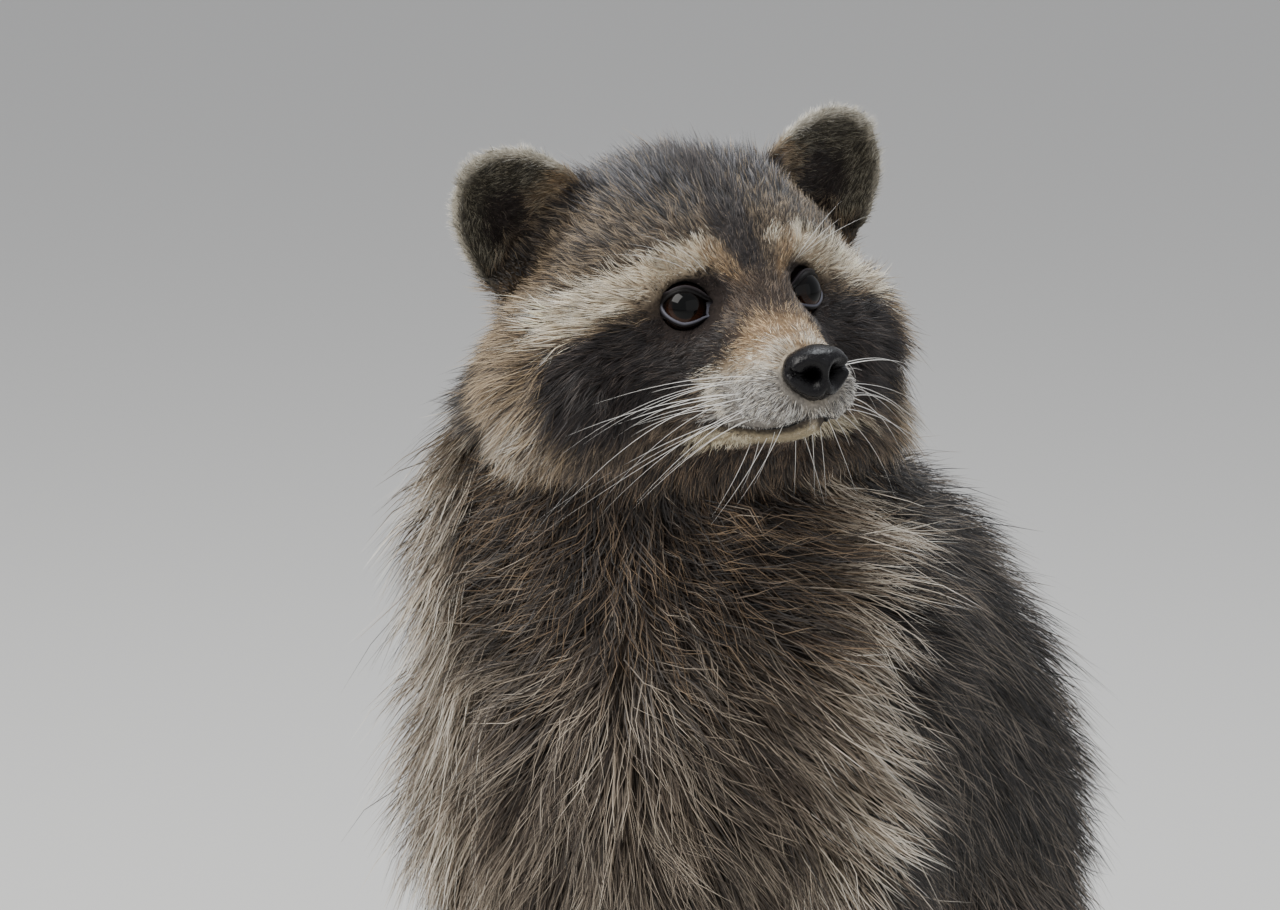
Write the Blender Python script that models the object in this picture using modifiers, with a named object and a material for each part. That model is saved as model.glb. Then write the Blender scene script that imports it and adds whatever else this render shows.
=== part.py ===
"""A life-size raccoon that sits on its haunches with its forelegs straight and its head turned to its left.

Metres, +Z up.  The animal faces -Y, its left side is +X, and the floor is z = 0.  Every solid is the outside
of the coat.  The forms of the body are built whole, joined to one surface, and parted with thin cuts.
"""
import math

import bmesh
import bpy
from mathutils import Matrix, Vector

# ---------------------------------------------------------------- driving dimensions
GAP = 0.0004            # the thin cut between two neighbouring pieces

HEAD_CENTRE = Vector((0.004, -0.090, 0.372))    # middle of the braincase, between the ear roots
HEAD_TURN = 45.0        # degrees that the head is turned to its left
HEAD_LIFT = 7.0         # degrees that the nose is raised
HEAD_ROLL = 3.5         # degrees that the left side of the head is raised

EYE_FORWARD, EYE_SIDE, EYE_UP = 0.0425, 0.0218, 0.0005
EYE_RADIUS = 0.0092
EYE_GAZE = Vector((0.86, 0.44, 0.18))           # the way the opening of the lids faces
EYE_HOLLOW = 0.0135     # radius of the shallow hollow between brow and cheek that the eye lies in
STOP_DIP = (0.0610, 0.0255, 0.0030)             # a dip beside the bridge of the nose, in front of each eye
STOP_DIP_RADII = (0.0155, 0.0145, 0.0125)

EAR_ROOT = Vector((-0.003, 0.0445, 0.0165))     # forward, side and up from the head's centre
EAR_LENGTH = 0.0555
EAR_HALF_WIDTH = 0.0275
EAR_CUP = 0.013         # how far the middle of the ear lies behind its rim
EAR_THICK = 0.0050
EAR_SPLAY = 40.0        # degrees that the ear leans outwards
EAR_FACING = 10.0       # degrees that its hollow is turned outwards

CHEST_SHIFT = -0.012    # the chest is a little to the right of the rump, as the spine bends
FORE_FOOT_SIDE, FORE_FOOT_Y = 0.050, -0.098
HIND_FOOT_SIDE, HIND_FOOT_Y = 0.084, 0.050

# The tail lies on the floor: x, y, z, half-width and half-depth of its coat.
TAIL_PATH = ((0, 0.158, 0.048, 0.040, 0.038), (-0.004, 0.205, 0.037, 0.033, 0.033),
             (-0.020, 0.262, 0.031, 0.034, 0.034), (-0.056, 0.312, 0.030, 0.034, 0.034),
             (-0.110, 0.340, 0.029, 0.033, 0.033), (-0.168, 0.338, 0.023, 0.026, 0.027))
TAIL_ROOT_Y = 0.213     # the tail is parted from the rump here

HEAD_TRIANGLES = 1500
BODY_TRIANGLES = 1200
PAW_TRIANGLES = 230
EAR_TRIANGLES = 320
NOSE_TRIANGLES = 180
SIDES = ((1, "left"), (-1, "right"))

# ---------------------------------------------------------------- scene
for old in list(bpy.data.objects):
    bpy.data.objects.remove(old, do_unlink=True)

raccoon = bpy.data.collections.new("raccoon")
helpers = bpy.data.collections.new("helpers")
bpy.context.scene.collection.children.link(raccoon)
bpy.context.scene.collection.children.link(helpers)

head_frame = (
    Matrix.Translation(HEAD_CENTRE)
    @ Matrix.Rotation(math.radians(HEAD_TURN), 4, "Z")
    @ Matrix(((0, 1, 0, 0), (-1, 0, 0, 0), (0, 0, 1, 0), (0, 0, 0, 1)))
    @ Matrix.Rotation(math.radians(-HEAD_LIFT), 4, "Y")
    @ Matrix.Rotation(math.radians(HEAD_ROLL), 4, "X")
)
body_frame = Matrix.Identity(4)


def finish(name, colour, roughness, metallic=0.0):
    """A plain Principled material."""
    material = bpy.data.materials.new(name)
    material.use_nodes = True
    shader = material.node_tree.nodes["Principled BSDF"]
    shader.inputs["Base Color"].default_value = (*colour, 1)
    shader.inputs["Roughness"].default_value = roughness
    shader.inputs["Metallic"].default_value = metallic
    return material


coat_grey = finish("coat_grey", (0.16, 0.13, 0.10), 0.9)
coat_face = finish("coat_face", (0.36, 0.31, 0.25), 0.9)
coat_tail = finish("coat_tail", (0.20, 0.16, 0.12), 0.9)
paw_skin = finish("paw_skin", (0.22, 0.20, 0.18), 0.8)
nose_leather = finish("nose_leather", (0.012, 0.011, 0.012), 0.35)
eye_glass = finish("eye_glass", (0.015, 0.008, 0.005), 0.05)


# ---------------------------------------------------------------- modelling helpers
def new_object(name, mesh, collection):
    item = bpy.data.objects.new(name, mesh)
    collection.objects.link(item)
    return item


def from_bmesh(name, shape, collection, frame=body_frame):
    """An object whose mesh is the bmesh, placed in the body's or the head's frame."""
    bmesh.ops.recalc_face_normals(shape, faces=shape.faces)
    mesh = bpy.data.meshes.new(name)
    shape.to_mesh(mesh)
    shape.free()
    mesh.transform(frame)
    if frame.determinant() < 0:
        mesh.flip_normals()
    item = new_object(name, mesh, collection)
    return item


def ball(centre, radii, frame=body_frame, turn=None, segments=24, name="form"):
    """An ellipsoid: a sphere stretched to three radii, turned about its middle, and moved."""
    shape = bmesh.new()
    bmesh.ops.create_uvsphere(shape, u_segments=segments, v_segments=segments // 2, radius=1)
    placed = Matrix.Translation(Vector(centre)) @ (turn or Matrix.Identity(4)) @ Matrix.Diagonal((*radii, 1))
    shape.transform(placed)
    return from_bmesh(name, shape, helpers, frame)


def smooth_stations(stations, steps):
    """Catmull-Rom through rows of numbers, so that a few named stations give an even curve."""
    rows = []
    count = len(stations)
    for i in range(count - 1):
        a = stations[max(i - 1, 0)]
        b, c = stations[i], stations[i + 1]
        d = stations[min(i + 2, count - 1)]
        for k in range(steps):
            t = k / steps
            row = []
            for p, q, r, s in zip(a, b, c, d):
                row.append(0.5 * (2 * q + (r - p) * t + (2 * p - 5 * q + 4 * r - s) * t * t
                                  + (3 * q - p - 3 * r + s) * t ** 3))
            rows.append(tuple(row))
    rows.append(tuple(stations[-1]))
    return rows


def loft(stations, side=Vector((1, 0, 0)), frame=body_frame, sides=24, steps=3, cap=0.7, rings_in_cap=3,
         name="form"):
    """Ellipses carried along a path.  A station is x, y, z, half-width along side, half-depth across it.

    Both ends are closed with domes that are cap times as long as the end is deep.
    """
    rows = smooth_stations(stations, steps)
    centres = [Vector(row[:3]) for row in rows]
    rings = []
    for i, row in enumerate(rows):
        along = (centres[min(i + 1, len(rows) - 1)] - centres[max(i - 1, 0)]).normalized()
        across = (side - along * side.dot(along)).normalized()
        deep = along.cross(across)
        rings.append((centres[i], across * row[3], deep * row[4], along))
    domed = []
    for end, sign in ((0, -1), (-1, 1)):
        middle, across, deep, along = rings[end]
        dome = []
        for ring in range(1, rings_in_cap + 1):
            angle = 0.5 * math.pi * ring / (rings_in_cap + 1)
            lean, rise = math.cos(angle), math.sin(angle)
            place = middle + along * sign * rise * cap * deep.length
            dome.append((place, across * lean, deep * lean, along))
        domed.append(dome)
    rings = domed[0][::-1] + rings + domed[1]
    shape = bmesh.new()
    loops = []
    for middle, across, deep, _ in rings:
        loop = []
        for k in range(sides):
            angle = 2 * math.pi * k / sides
            loop.append(shape.verts.new(middle + across * math.cos(angle) + deep * math.sin(angle)))
        loops.append(loop)
    for first, second in zip(loops, loops[1:]):
        for k in range(sides):
            shape.faces.new((first[k], first[(k + 1) % sides], second[(k + 1) % sides], second[k]))
    shape.faces.new(loops[0])
    shape.faces.new(loops[-1])
    return from_bmesh(name, shape, helpers, frame)


def block(low, high, frame=body_frame, name="cutter"):
    """A box between two corners, for cutting."""
    shape = bmesh.new()
    bmesh.ops.create_cube(shape, size=1)
    low, high = Vector(low), Vector(high)
    shape.transform(Matrix.Translation((low + high) / 2) @ Matrix.Diagonal((*(high - low), 1)))
    return from_bmesh(name, shape, helpers, frame)


def beyond(point, direction, reach=0.6, frame=body_frame, name="cutter"):
    """A large box that holds everything on the far side of the plane through point."""
    turn = Vector(direction).to_track_quat("Z", "X").to_matrix().to_4x4()
    placed = frame @ Matrix.Translation(Vector(point)) @ turn
    return block((-reach, -reach, 0), (reach, reach, reach), placed, name)


def settled(item):
    """Applies every modifier of an object by taking its evaluated mesh."""
    bpy.context.view_layer.update()
    graph = bpy.context.evaluated_depsgraph_get()
    mesh = bpy.data.meshes.new_from_object(item.evaluated_get(graph))
    item.modifiers.clear()
    item.data = mesh
    return item


def joined(items, name):
    """One object with the loose meshes of several."""
    shape = bmesh.new()
    for item in items:
        shape.from_mesh(item.data)
        bpy.data.objects.remove(item, do_unlink=True)
    mesh = bpy.data.meshes.new(name)
    shape.to_mesh(mesh)
    shape.free()
    return new_object(name, mesh, helpers)


def fused(items, name, voxel, rounds):
    """Overlapping forms made one skin: a voxel remesh and a smoothing."""
    item = joined(items, name)
    remesh = item.modifiers.new("join", "REMESH")
    remesh.mode = "VOXEL"
    remesh.voxel_size = voxel
    soften = item.modifiers.new("soften", "SMOOTH")
    soften.factor = 0.5
    soften.iterations = rounds
    return settled(item)


def reduced(item, triangles):
    """The same shape with about this many triangles."""
    item.data.calc_loop_triangles()
    fewer = item.modifiers.new("fewer", "DECIMATE")
    fewer.ratio = min(1, triangles / len(item.data.loop_triangles))
    return settled(item)


def largest(item):
    """Keeps the largest of an object's loose bodies, and so drops slivers that a cut leaves."""
    shape = bmesh.new()
    shape.from_mesh(item.data)
    unseen = set(shape.verts)
    bodies = []
    while unseen:
        stack = [unseen.pop()]
        body = list(stack)
        while stack:
            for edge in stack.pop().link_edges:
                for vert in edge.verts:
                    if vert in unseen:
                        unseen.discard(vert)
                        stack.append(vert)
                        body.append(vert)
        bodies.append(body)
    bodies.sort(key=len)
    for body in bodies[:-1]:
        bmesh.ops.delete(shape, geom=body, context="VERTS")
    shape.to_mesh(item.data)
    shape.free()
    return item


def bool_with(item, other, operation):
    """A Boolean with another object, applied at once."""
    modifier = item.modifiers.new(operation.lower(), "BOOLEAN")
    modifier.operation = operation
    modifier.solver = "EXACT"
    modifier.object = other
    return settled(item)


def copy_of(item, name, collection=helpers):
    return new_object(name, item.data.copy(), collection)


def grown(item, distance, name="cutter"):
    """A copy whose surface lies a little further out."""
    copy = copy_of(item, name)
    push = copy.modifiers.new("grow", "DISPLACE")
    push.strength = distance
    push.mid_level = 0
    return settled(copy)


def drop(*items):
    for item in items:
        bpy.data.objects.remove(item, do_unlink=True)


def part_off(whole, cutter, name, material):
    """Parts the piece inside the cutter from the whole, with a thin cut between the two."""
    piece = copy_of(whole, name, raccoon)
    largest(bool_with(piece, cutter, "INTERSECT"))
    wide = grown(cutter, GAP)
    largest(bool_with(whole, wide, "DIFFERENCE"))
    drop(cutter, wide)
    dress(piece, material)
    return piece


def take_in(piece, material):
    """Moves a finished piece from the helpers to the animal."""
    raccoon.objects.link(piece)
    helpers.objects.unlink(piece)
    dress(piece, material)


def dress(piece, material):
    piece.data.materials.clear()
    piece.data.materials.append(material)
    piece.data.shade_smooth()


# ---------------------------------------------------------------- head forms, in forward, side and up
def head_forms():
    """The skull and muzzle as one loft, with brows, whisker pads, lower jaw, cheeks and ruff."""
    side = Vector((0, 1, 0))
    forms = [
        loft(((-0.046, 0, -0.006, 0.040, 0.036), (-0.028, 0, -0.001, 0.054, 0.049),
              (0.000, 0, 0.000, 0.062, 0.053), (0.020, 0, -0.004, 0.058, 0.050),
              (0.036, 0, -0.012, 0.044, 0.043), (0.050, 0, -0.019, 0.0295, 0.0325),
              (0.064, 0, -0.0245, 0.0220, 0.0245), (0.080, 0, -0.0285, 0.0185, 0.0190),
              (0.092, 0, -0.0305, 0.0155, 0.0155)), side, head_frame, sides=32, cap=0.5),
        loft(((0.010, 0, -0.034, 0.044, 0.028), (0.050, 0, -0.0390, 0.0230, 0.0155),
              (0.083, 0, -0.0415, 0.0105, 0.0085)), side, head_frame),
        ball((-0.012, 0, -0.050), (0.048, 0.062, 0.034), head_frame),
    ]
    for sign, _ in SIDES:
        forms += [
            ball((0.034, 0.022 * sign, 0.0135), (0.0160, 0.0180, 0.0120), head_frame),
            ball((0.080, 0.0110 * sign, -0.0315), (0.0180, 0.0120, 0.0130), head_frame),
            ball((-0.001, 0.045 * sign, -0.021), (0.041, 0.039, 0.039), head_frame),
            ball((-0.008, 0.044 * sign, -0.040), (0.036, 0.037, 0.034), head_frame),
        ]
    return forms


def body_forms():
    """Neck, trunk, upper legs, haunches and tail."""
    shift = CHEST_SHIFT
    forms = [
        loft(((0, 0.138, 0.062, 0.090, 0.074), (0, 0.116, 0.122, 0.099, 0.088),
              (0, 0.058, 0.184, 0.106, 0.099), (shift * 0.6, -0.010, 0.228, 0.110, 0.099),
              (shift, -0.048, 0.264, 0.109, 0.093), (shift * 0.8, -0.060, 0.302, 0.098, 0.084),
              (shift * 0.3, -0.066, 0.335, 0.085, 0.072), (0, -0.072, 0.360, 0.066, 0.062)),
             steps=4, sides=32),
        loft(TAIL_PATH, side=Vector((1, 0.2, 0)), steps=4, cap=1.3),
        ball((shift, -0.076, 0.205), (0.096, 0.070, 0.095)),
    ]
    for sign, _ in SIDES:
        forms += [
            loft(((0.058 * sign + shift, -0.070, 0.225, 0.042, 0.052),
                  (0.063 * sign + shift, -0.070, 0.165, 0.039, 0.048),
                  (0.063 * sign + shift / 2, -0.064, 0.118, 0.032, 0.037),
                  (0.057 * sign, -0.074, 0.072, 0.0230, 0.0260),
                  (0.051 * sign, -0.084, 0.030, 0.0175, 0.0185)), steps=4),
            ball((0.066 * sign, 0.088, 0.074), (0.038, 0.076, 0.078)),
            loft(((0.082 * sign, 0.052, 0.080, 0.029, 0.034), (0.086 * sign, 0.092, 0.040, 0.026, 0.030),
                  (0.084 * sign, 0.105, 0.024, 0.021, 0.022)), steps=3),
            loft(((0.084 * sign, 0.112, 0.018, 0.0190, 0.0180), (0.084 * sign, 0.075, 0.015, 0.0200, 0.0150),
                  (0.084 * sign, 0.045, 0.013, 0.0210, 0.0130)), steps=3),
        ]
    return forms


def foot(name, sign, side_at, heel_y, palm, reach, spread, digit_radius, lengths):
    """A paw: a flat palm, five digits that arch and come down on their tips, and five claws."""
    base = Vector((side_at * sign, heel_y, 0))
    half_width, palm_height = palm
    forms = [ball(base + Vector((0, 0, palm_height * 0.62)), (half_width, reach, palm_height))]
    claws = []
    for i, length in enumerate(lengths):
        share = (i - 2) / 2
        angle = math.radians(spread) * share * sign
        aim = Vector((math.sin(angle), -math.cos(angle), 0))
        start = base + Vector((share * sign * half_width * 0.78, -reach * 0.60, palm_height * 0.62))
        knuckle = start + aim * length * 0.48 + Vector((0, 0, digit_radius * 0.55))
        tip = start + aim * length
        tip.z = digit_radius * 0.80
        forms.append(loft(((*start, digit_radius * 1.15, digit_radius * 1.15),
                           (*knuckle, digit_radius, digit_radius),
                           (*tip, digit_radius * 0.86, digit_radius * 0.86)), sides=12, cap=1))
        claws.append((tip, aim))
    paw = reduced(fused(forms, name, 0.0019, 3), PAW_TRIANGLES)
    for tip, aim in claws:
        point = tip + aim * (digit_radius * 0.86 + 0.0085) + Vector((0, 0, -digit_radius * 0.80 + 0.0014))
        root = tip + aim * digit_radius * 0.25 + Vector((0, 0, digit_radius * 0.20))
        bend = tip + aim * (digit_radius * 0.86 + 0.0040) + Vector((0, 0, digit_radius * 0.12))
        claw = loft(((*root, 0.0017, 0.0021), (*bend, 0.0013, 0.0017), (*point, 0.0006, 0.0007)),
                    side=Vector((1, 0, 0)), sides=6, steps=1, cap=0.6, rings_in_cap=1)
        bool_with(paw, claw, "UNION")
        drop(claw)
    return paw


def ear(sign, name):
    """A cupped rounded blade: across runs from rim to rim, along from the root to the tip."""
    rows, columns = 10, 10
    shape = bmesh.new()
    grid = []
    for i in range(rows + 1):
        along = math.sin(0.5 * math.pi * i / rows)
        width = EAR_HALF_WIDTH * (1 - along ** 3.4 * 0.99) ** 0.40 * (0.90 + 0.42 * along * (1 - along))
        line = []
        for j in range(columns + 1):
            across = 2 * j / columns - 1
            back = EAR_CUP * (1 - across * across) * (1.10 - 1.05 * along ** 3)
            height = EAR_LENGTH * along * (1 - 0.05 * across * across)
            line.append(shape.verts.new((-back, width * across, height)))
        grid.append(line)
    for first, second in zip(grid, grid[1:]):
        for j in range(columns):
            shape.faces.new((first[j], first[j + 1], second[j + 1], second[j]))
    lean = Matrix.Rotation(math.radians(-EAR_SPLAY * sign), 4, "X")
    face_out = Matrix.Rotation(math.radians(EAR_FACING * sign), 4, "Z")
    root = Vector((EAR_ROOT.x, EAR_ROOT.y * sign, EAR_ROOT.z))
    item = from_bmesh(name, shape, helpers, head_frame @ Matrix.Translation(root) @ lean @ face_out)
    wall = item.modifiers.new("wall", "SOLIDIFY")
    wall.thickness = EAR_THICK
    wall.offset = 0
    soften = item.modifiers.new("soften", "SUBSURF")
    soften.levels = soften.render_levels = 1
    return reduced(settled(item), EAR_TRIANGLES)


def nose_pad():
    """The bare nose: a rounded wedge, wide at the top, with two comma-shaped nostrils cut in."""
    pad = reduced(fused([
        ball((0.0975, 0, -0.0215), (0.0085, 0.0118, 0.0080), head_frame),
        ball((0.0985, 0.0055, -0.0250), (0.0072, 0.0066, 0.0068), head_frame),
        ball((0.0985, -0.0055, -0.0250), (0.0072, 0.0066, 0.0068), head_frame),
        ball((0.0985, 0, -0.0300), (0.0052, 0.0040, 0.0062), head_frame),
    ], "nose", 0.0010, 4), NOSE_TRIANGLES)
    for sign, _ in SIDES:
        nostril = ball((0.1060, 0.0056 * sign, -0.0245), (0.0040, 0.0022, 0.0026), head_frame, segments=8)
        bool_with(pad, nostril, "DIFFERENCE")
        drop(nostril)
    return pad


# ---------------------------------------------------------------- the animal, whole
body = fused(body_forms(), "body", 0.0050, 16)
skull = fused(head_forms(), "skull", 0.0028, 7)
whole = fused([body, skull], "whole", 0.0030, 4)
floor = block((-1, -1, -1), (1, 1, 0), name="floor")

# The head is parted from the neck by a plane that runs from the nape to under the chin.
NECK_PLANE = Vector((0.0, 0.0, -0.050)), Vector((0.32, 0.0, 0.947))
MARGIN = 0.010          # both sides are reduced with this much to spare, and then cut exactly

head = copy_of(whole, "head")
rough = beyond(NECK_PLANE[0] - NECK_PLANE[1] * MARGIN, NECK_PLANE[1], frame=head_frame)
largest(bool_with(head, rough, "INTERSECT"))
reduced(head, HEAD_TRIANGLES)
exact = beyond(*NECK_PLANE, frame=head_frame)
largest(bool_with(head, exact, "INTERSECT"))

rest = copy_of(whole, "trunk")
high = beyond(NECK_PLANE[0] + NECK_PLANE[1] * MARGIN, NECK_PLANE[1], frame=head_frame)
largest(bool_with(rest, high, "DIFFERENCE"))
reduced(rest, BODY_TRIANGLES)
wide = grown(exact, GAP)
largest(bool_with(rest, wide, "DIFFERENCE"))
bool_with(rest, floor, "DIFFERENCE")
drop(rough, exact, high, wide, whole)

# Eyes: balls set in sockets that are cut in the head.
for sign, word in SIDES:
    place = (EYE_FORWARD, EYE_SIDE * sign, EYE_UP)
    gaze = Vector((EYE_GAZE.x, EYE_GAZE.y * sign, EYE_GAZE.z)).normalized()
    eye = ball(place, (EYE_RADIUS,) * 3, head_frame, segments=12, name="eye_" + word)
    socket = ball(place, (EYE_RADIUS + GAP,) * 3, head_frame, segments=12)
    hollow = ball(Vector(place) + gaze * EYE_HOLLOW * 0.96, (EYE_HOLLOW,) * 3, head_frame, segments=14)
    dip = ball((STOP_DIP[0], STOP_DIP[1] * sign, STOP_DIP[2]), STOP_DIP_RADII, head_frame, segments=14)
    for cutter in (dip, hollow, socket):
        largest(bool_with(head, cutter, "DIFFERENCE"))
    drop(socket, hollow, dip)
    take_in(eye, eye_glass)

# Nose: its own piece, let into the tip of the muzzle.
nose = nose_pad()
bed = grown(nose, GAP)
largest(bool_with(head, bed, "DIFFERENCE"))
drop(bed)
take_in(nose, nose_leather)

# Ears: trimmed where they meet the head and the nape.
for sign, word in SIDES:
    blade = ear(sign, "ear_" + word)
    for neighbour in (head, rest):
        fence = grown(neighbour, GAP)
        bool_with(blade, fence, "DIFFERENCE")
        drop(fence)
    take_in(largest(blade), coat_face)
take_in(head, coat_face)

# Paws: whole feet with their claws, which the legs are trimmed to.
FORE_DIGITS = (0.026, 0.033, 0.036, 0.034, 0.028)
HIND_DIGITS = (0.024, 0.031, 0.034, 0.032, 0.026)
for sign, word in SIDES:
    forepaw = foot("forepaw_" + word, sign, FORE_FOOT_SIDE, FORE_FOOT_Y,
                   palm=(0.0200, 0.0155), reach=0.026, spread=24, digit_radius=0.0060, lengths=FORE_DIGITS)
    hindfoot = foot("hindfoot_" + word, sign, HIND_FOOT_SIDE, HIND_FOOT_Y,
                    palm=(0.0215, 0.0155), reach=0.040, spread=18, digit_radius=0.0063, lengths=HIND_DIGITS)
    for paw in (forepaw, hindfoot):
        bool_with(paw, floor, "DIFFERENCE")
        take_in(largest(paw), paw_skin)
        trim = grown(paw, GAP)
        largest(bool_with(rest, trim, "DIFFERENCE"))
        drop(trim)

# ---------------------------------------------------------------- the body, parted
part_off(rest, beyond((0, -0.062, 0.283), (0, -0.28, 0.96)), "neck", coat_grey)

tail = part_off(rest, beyond((0, TAIL_ROOT_Y, 0), (0, 1, 0)), "tail_1", coat_tail)
for number in (2, 3, 4):
    before, here, after = (Vector(TAIL_PATH[number + step][:3]) for step in (-1, 0, 1))
    along = (after - before) if number < 4 else (after - here)
    along.z = 0
    further = copy_of(tail, "tail_%d" % number, raccoon)
    cutter = beyond(here, along)
    bool_with(further, cutter, "INTERSECT")
    wide = grown(cutter, GAP)
    bool_with(tail, wide, "DIFFERENCE")
    drop(cutter, wide)
    dress(further, coat_tail)
    tail = further

for sign, word in SIDES:
    low_corner = Vector((min(0.02 * sign, 0.13 * sign), -0.150, -0.1))
    high_corner = Vector((max(0.02 * sign, 0.13 * sign), -0.026, 0.104))
    part_off(rest, block(low_corner, high_corner), "forearm_" + word, coat_grey)
    shoulder = ((0.072 * sign, -0.068, 0.085, 0.043, 0.048),
                (0.078 * sign + CHEST_SHIFT, -0.070, 0.150, 0.046, 0.054),
                (0.083 * sign + CHEST_SHIFT, -0.066, 0.200, 0.042, 0.050))
    upper = loft(shoulder, sides=16, steps=1, name="cutter")
    part_off(rest, upper, "upper_arm_" + word, coat_grey)
    haunch = ball((0.088 * sign, 0.075, 0.074), (0.054, 0.092, 0.086), segments=16, name="cutter")
    part_off(rest, haunch, "thigh_" + word, coat_grey)
take_in(rest, coat_grey)
drop(floor)

# ---------------------------------------------------------------- origin at the middle of the footprint
bpy.context.view_layer.update()
corners = [vert.co for item in raccoon.objects for vert in item.data.vertices]
low = Vector(min(corner[axis] for corner in corners) for axis in range(3))
high = Vector(max(corner[axis] for corner in corners) for axis in range(3))
to_origin = Matrix.Translation((-(low.x + high.x) / 2, -(low.y + high.y) / 2, -low.z))
for item in raccoon.objects:
    item.data.transform(to_origin)
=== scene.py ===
"""A life-size sitting raccoon: one skin, eyes, lids, nose, claws, whiskers and a coat of real tufts."""

import math

import bmesh
import bpy
import numpy as np
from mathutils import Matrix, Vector
from mathutils.bvhtree import BVHTree


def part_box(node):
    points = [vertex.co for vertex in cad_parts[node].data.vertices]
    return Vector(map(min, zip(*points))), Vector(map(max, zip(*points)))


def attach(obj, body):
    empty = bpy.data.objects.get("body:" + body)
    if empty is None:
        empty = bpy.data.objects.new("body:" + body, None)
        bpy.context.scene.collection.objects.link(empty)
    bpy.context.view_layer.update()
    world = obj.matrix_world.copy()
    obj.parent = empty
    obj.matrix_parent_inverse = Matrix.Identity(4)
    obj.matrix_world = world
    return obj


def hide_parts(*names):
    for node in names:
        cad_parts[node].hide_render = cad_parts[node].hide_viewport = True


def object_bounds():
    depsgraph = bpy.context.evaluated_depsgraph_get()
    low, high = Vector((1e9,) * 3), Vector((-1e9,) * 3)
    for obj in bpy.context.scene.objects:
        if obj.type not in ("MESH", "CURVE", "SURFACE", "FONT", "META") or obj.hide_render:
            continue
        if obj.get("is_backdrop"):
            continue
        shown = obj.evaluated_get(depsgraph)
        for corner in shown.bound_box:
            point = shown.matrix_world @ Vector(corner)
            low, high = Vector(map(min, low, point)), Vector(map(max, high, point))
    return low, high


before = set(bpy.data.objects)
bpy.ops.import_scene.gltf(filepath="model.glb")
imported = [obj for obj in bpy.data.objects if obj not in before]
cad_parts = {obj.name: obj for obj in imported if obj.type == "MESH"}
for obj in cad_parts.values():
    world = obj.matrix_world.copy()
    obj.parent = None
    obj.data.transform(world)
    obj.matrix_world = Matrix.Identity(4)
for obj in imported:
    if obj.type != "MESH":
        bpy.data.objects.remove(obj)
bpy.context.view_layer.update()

# ---------------------------------------------------------------- the skin
# One hide runs from the muzzle over the ears, neck, trunk, legs and paws to the tip of the tail.  It lies
# inside the solids by the depth of the coat, fits round the eyes, and carries the coat's own markings.
MM = 0.001
SIDES = (("left", 1), ("right", -1))
FLESH = ["head", "neck", "trunk", "tail_1", "tail_2", "tail_3", "tail_4"]
for word, _ in SIDES:
    FLESH += [part + "_" + word for part in ("ear", "upper_arm", "forearm", "forepaw", "thigh", "hindfoot")]


def middle(node):
    """The middle of a solid's box."""
    low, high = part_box(node)
    return np.array((low + high) / 2)


def unit(rows):
    """Rows of vectors, each made one long."""
    return rows / np.linalg.norm(rows, axis=-1, keepdims=True).clip(1e-9)


def step(low, high, value):
    """Smooth step: 0 below low, 1 above high, and 3t2 - 2t3 between.  low may be the larger."""
    t = ((np.asarray(value) - low) / (high - low)).clip(0, 1)
    return t * t * (3 - 2 * t)


# The head's own axes, forward, to its left and up, are read from the eyes and the nose.
EYE_FORWARD, EYE_SIDE, EYE_UP = 42.5 * MM, 21.8 * MM, 0.5 * MM
NOSE_BELOW_EYES = math.atan2(0.0260, 0.0550)
eyes_middle = (middle("eye_left") + middle("eye_right")) / 2
head_side = unit(middle("eye_left") - middle("eye_right"))
to_nose = middle("nose") - eyes_middle
to_nose = unit(to_nose - head_side * (to_nose @ head_side))
nose_up = np.cross(to_nose, head_side)
head_forward = to_nose * math.cos(NOSE_BELOW_EYES) + nose_up * math.sin(NOSE_BELOW_EYES)
head_up = np.cross(head_forward, head_side)
head_axes = np.array((head_forward, head_side, head_up))
head_origin = eyes_middle - EYE_FORWARD * head_forward - EYE_UP * head_up
EYE_AT = np.array((EYE_FORWARD, EYE_SIDE, EYE_UP)) / MM

# The body's own origin is on the floor, on the mid-line, under the middle of the back.
body_origin = (middle("forepaw_left") + middle("forepaw_right")) / 2 + np.array((0, 0.118, 0))
body_origin[2] = 0
CHEST_SIDE, CHEST_BACK = -12, -45                # the middle of the chest, from the body's origin


def in_head(points):
    """Forward, left and up from the middle of the braincase, in millimetres."""
    return (points - head_origin) @ head_axes.T / MM


def from_head(points):
    """The way back from the head's axes."""
    return head_origin + np.asarray(points, float) * MM @ head_axes


def in_body(points):
    """To its left, back and up from the body's origin, in millimetres."""
    return (points - body_origin) / MM


# Each ear has axes too: out of its hollow, across from rim to rim, and along from root to tip.
EAR_ROOT, EAR_SPLAY, EAR_FACING = np.array((-3.0, 44.5, 16.5)), math.radians(40), math.radians(10)


def in_ear(head_points, sign):
    """Facing, across and along, in millimetres, for one ear, from points in the head's axes."""
    offset = (head_points - EAR_ROOT * (1, sign, 1)) * (1, sign, 1)
    along = offset[:, 1] * math.sin(EAR_SPLAY) + offset[:, 2] * math.cos(EAR_SPLAY)
    level = offset[:, 1] * math.cos(EAR_SPLAY) - offset[:, 2] * math.sin(EAR_SPLAY)
    facing = offset[:, 0] * math.cos(EAR_FACING) + level * math.sin(EAR_FACING)
    across = level * math.cos(EAR_FACING) - offset[:, 0] * math.sin(EAR_FACING)
    return np.stack((facing, across, along), 1)


def ear_share(head_points):
    """1 on the blade of an ear and 0 elsewhere."""
    share = np.zeros(len(head_points))
    for _, sign in SIDES:
        facing, across, along = in_ear(head_points, sign).T
        share = np.maximum(share, step(14, 22, along) * step(38, 32, abs(across)) * step(40, 30, abs(facing)))
    return share


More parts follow.
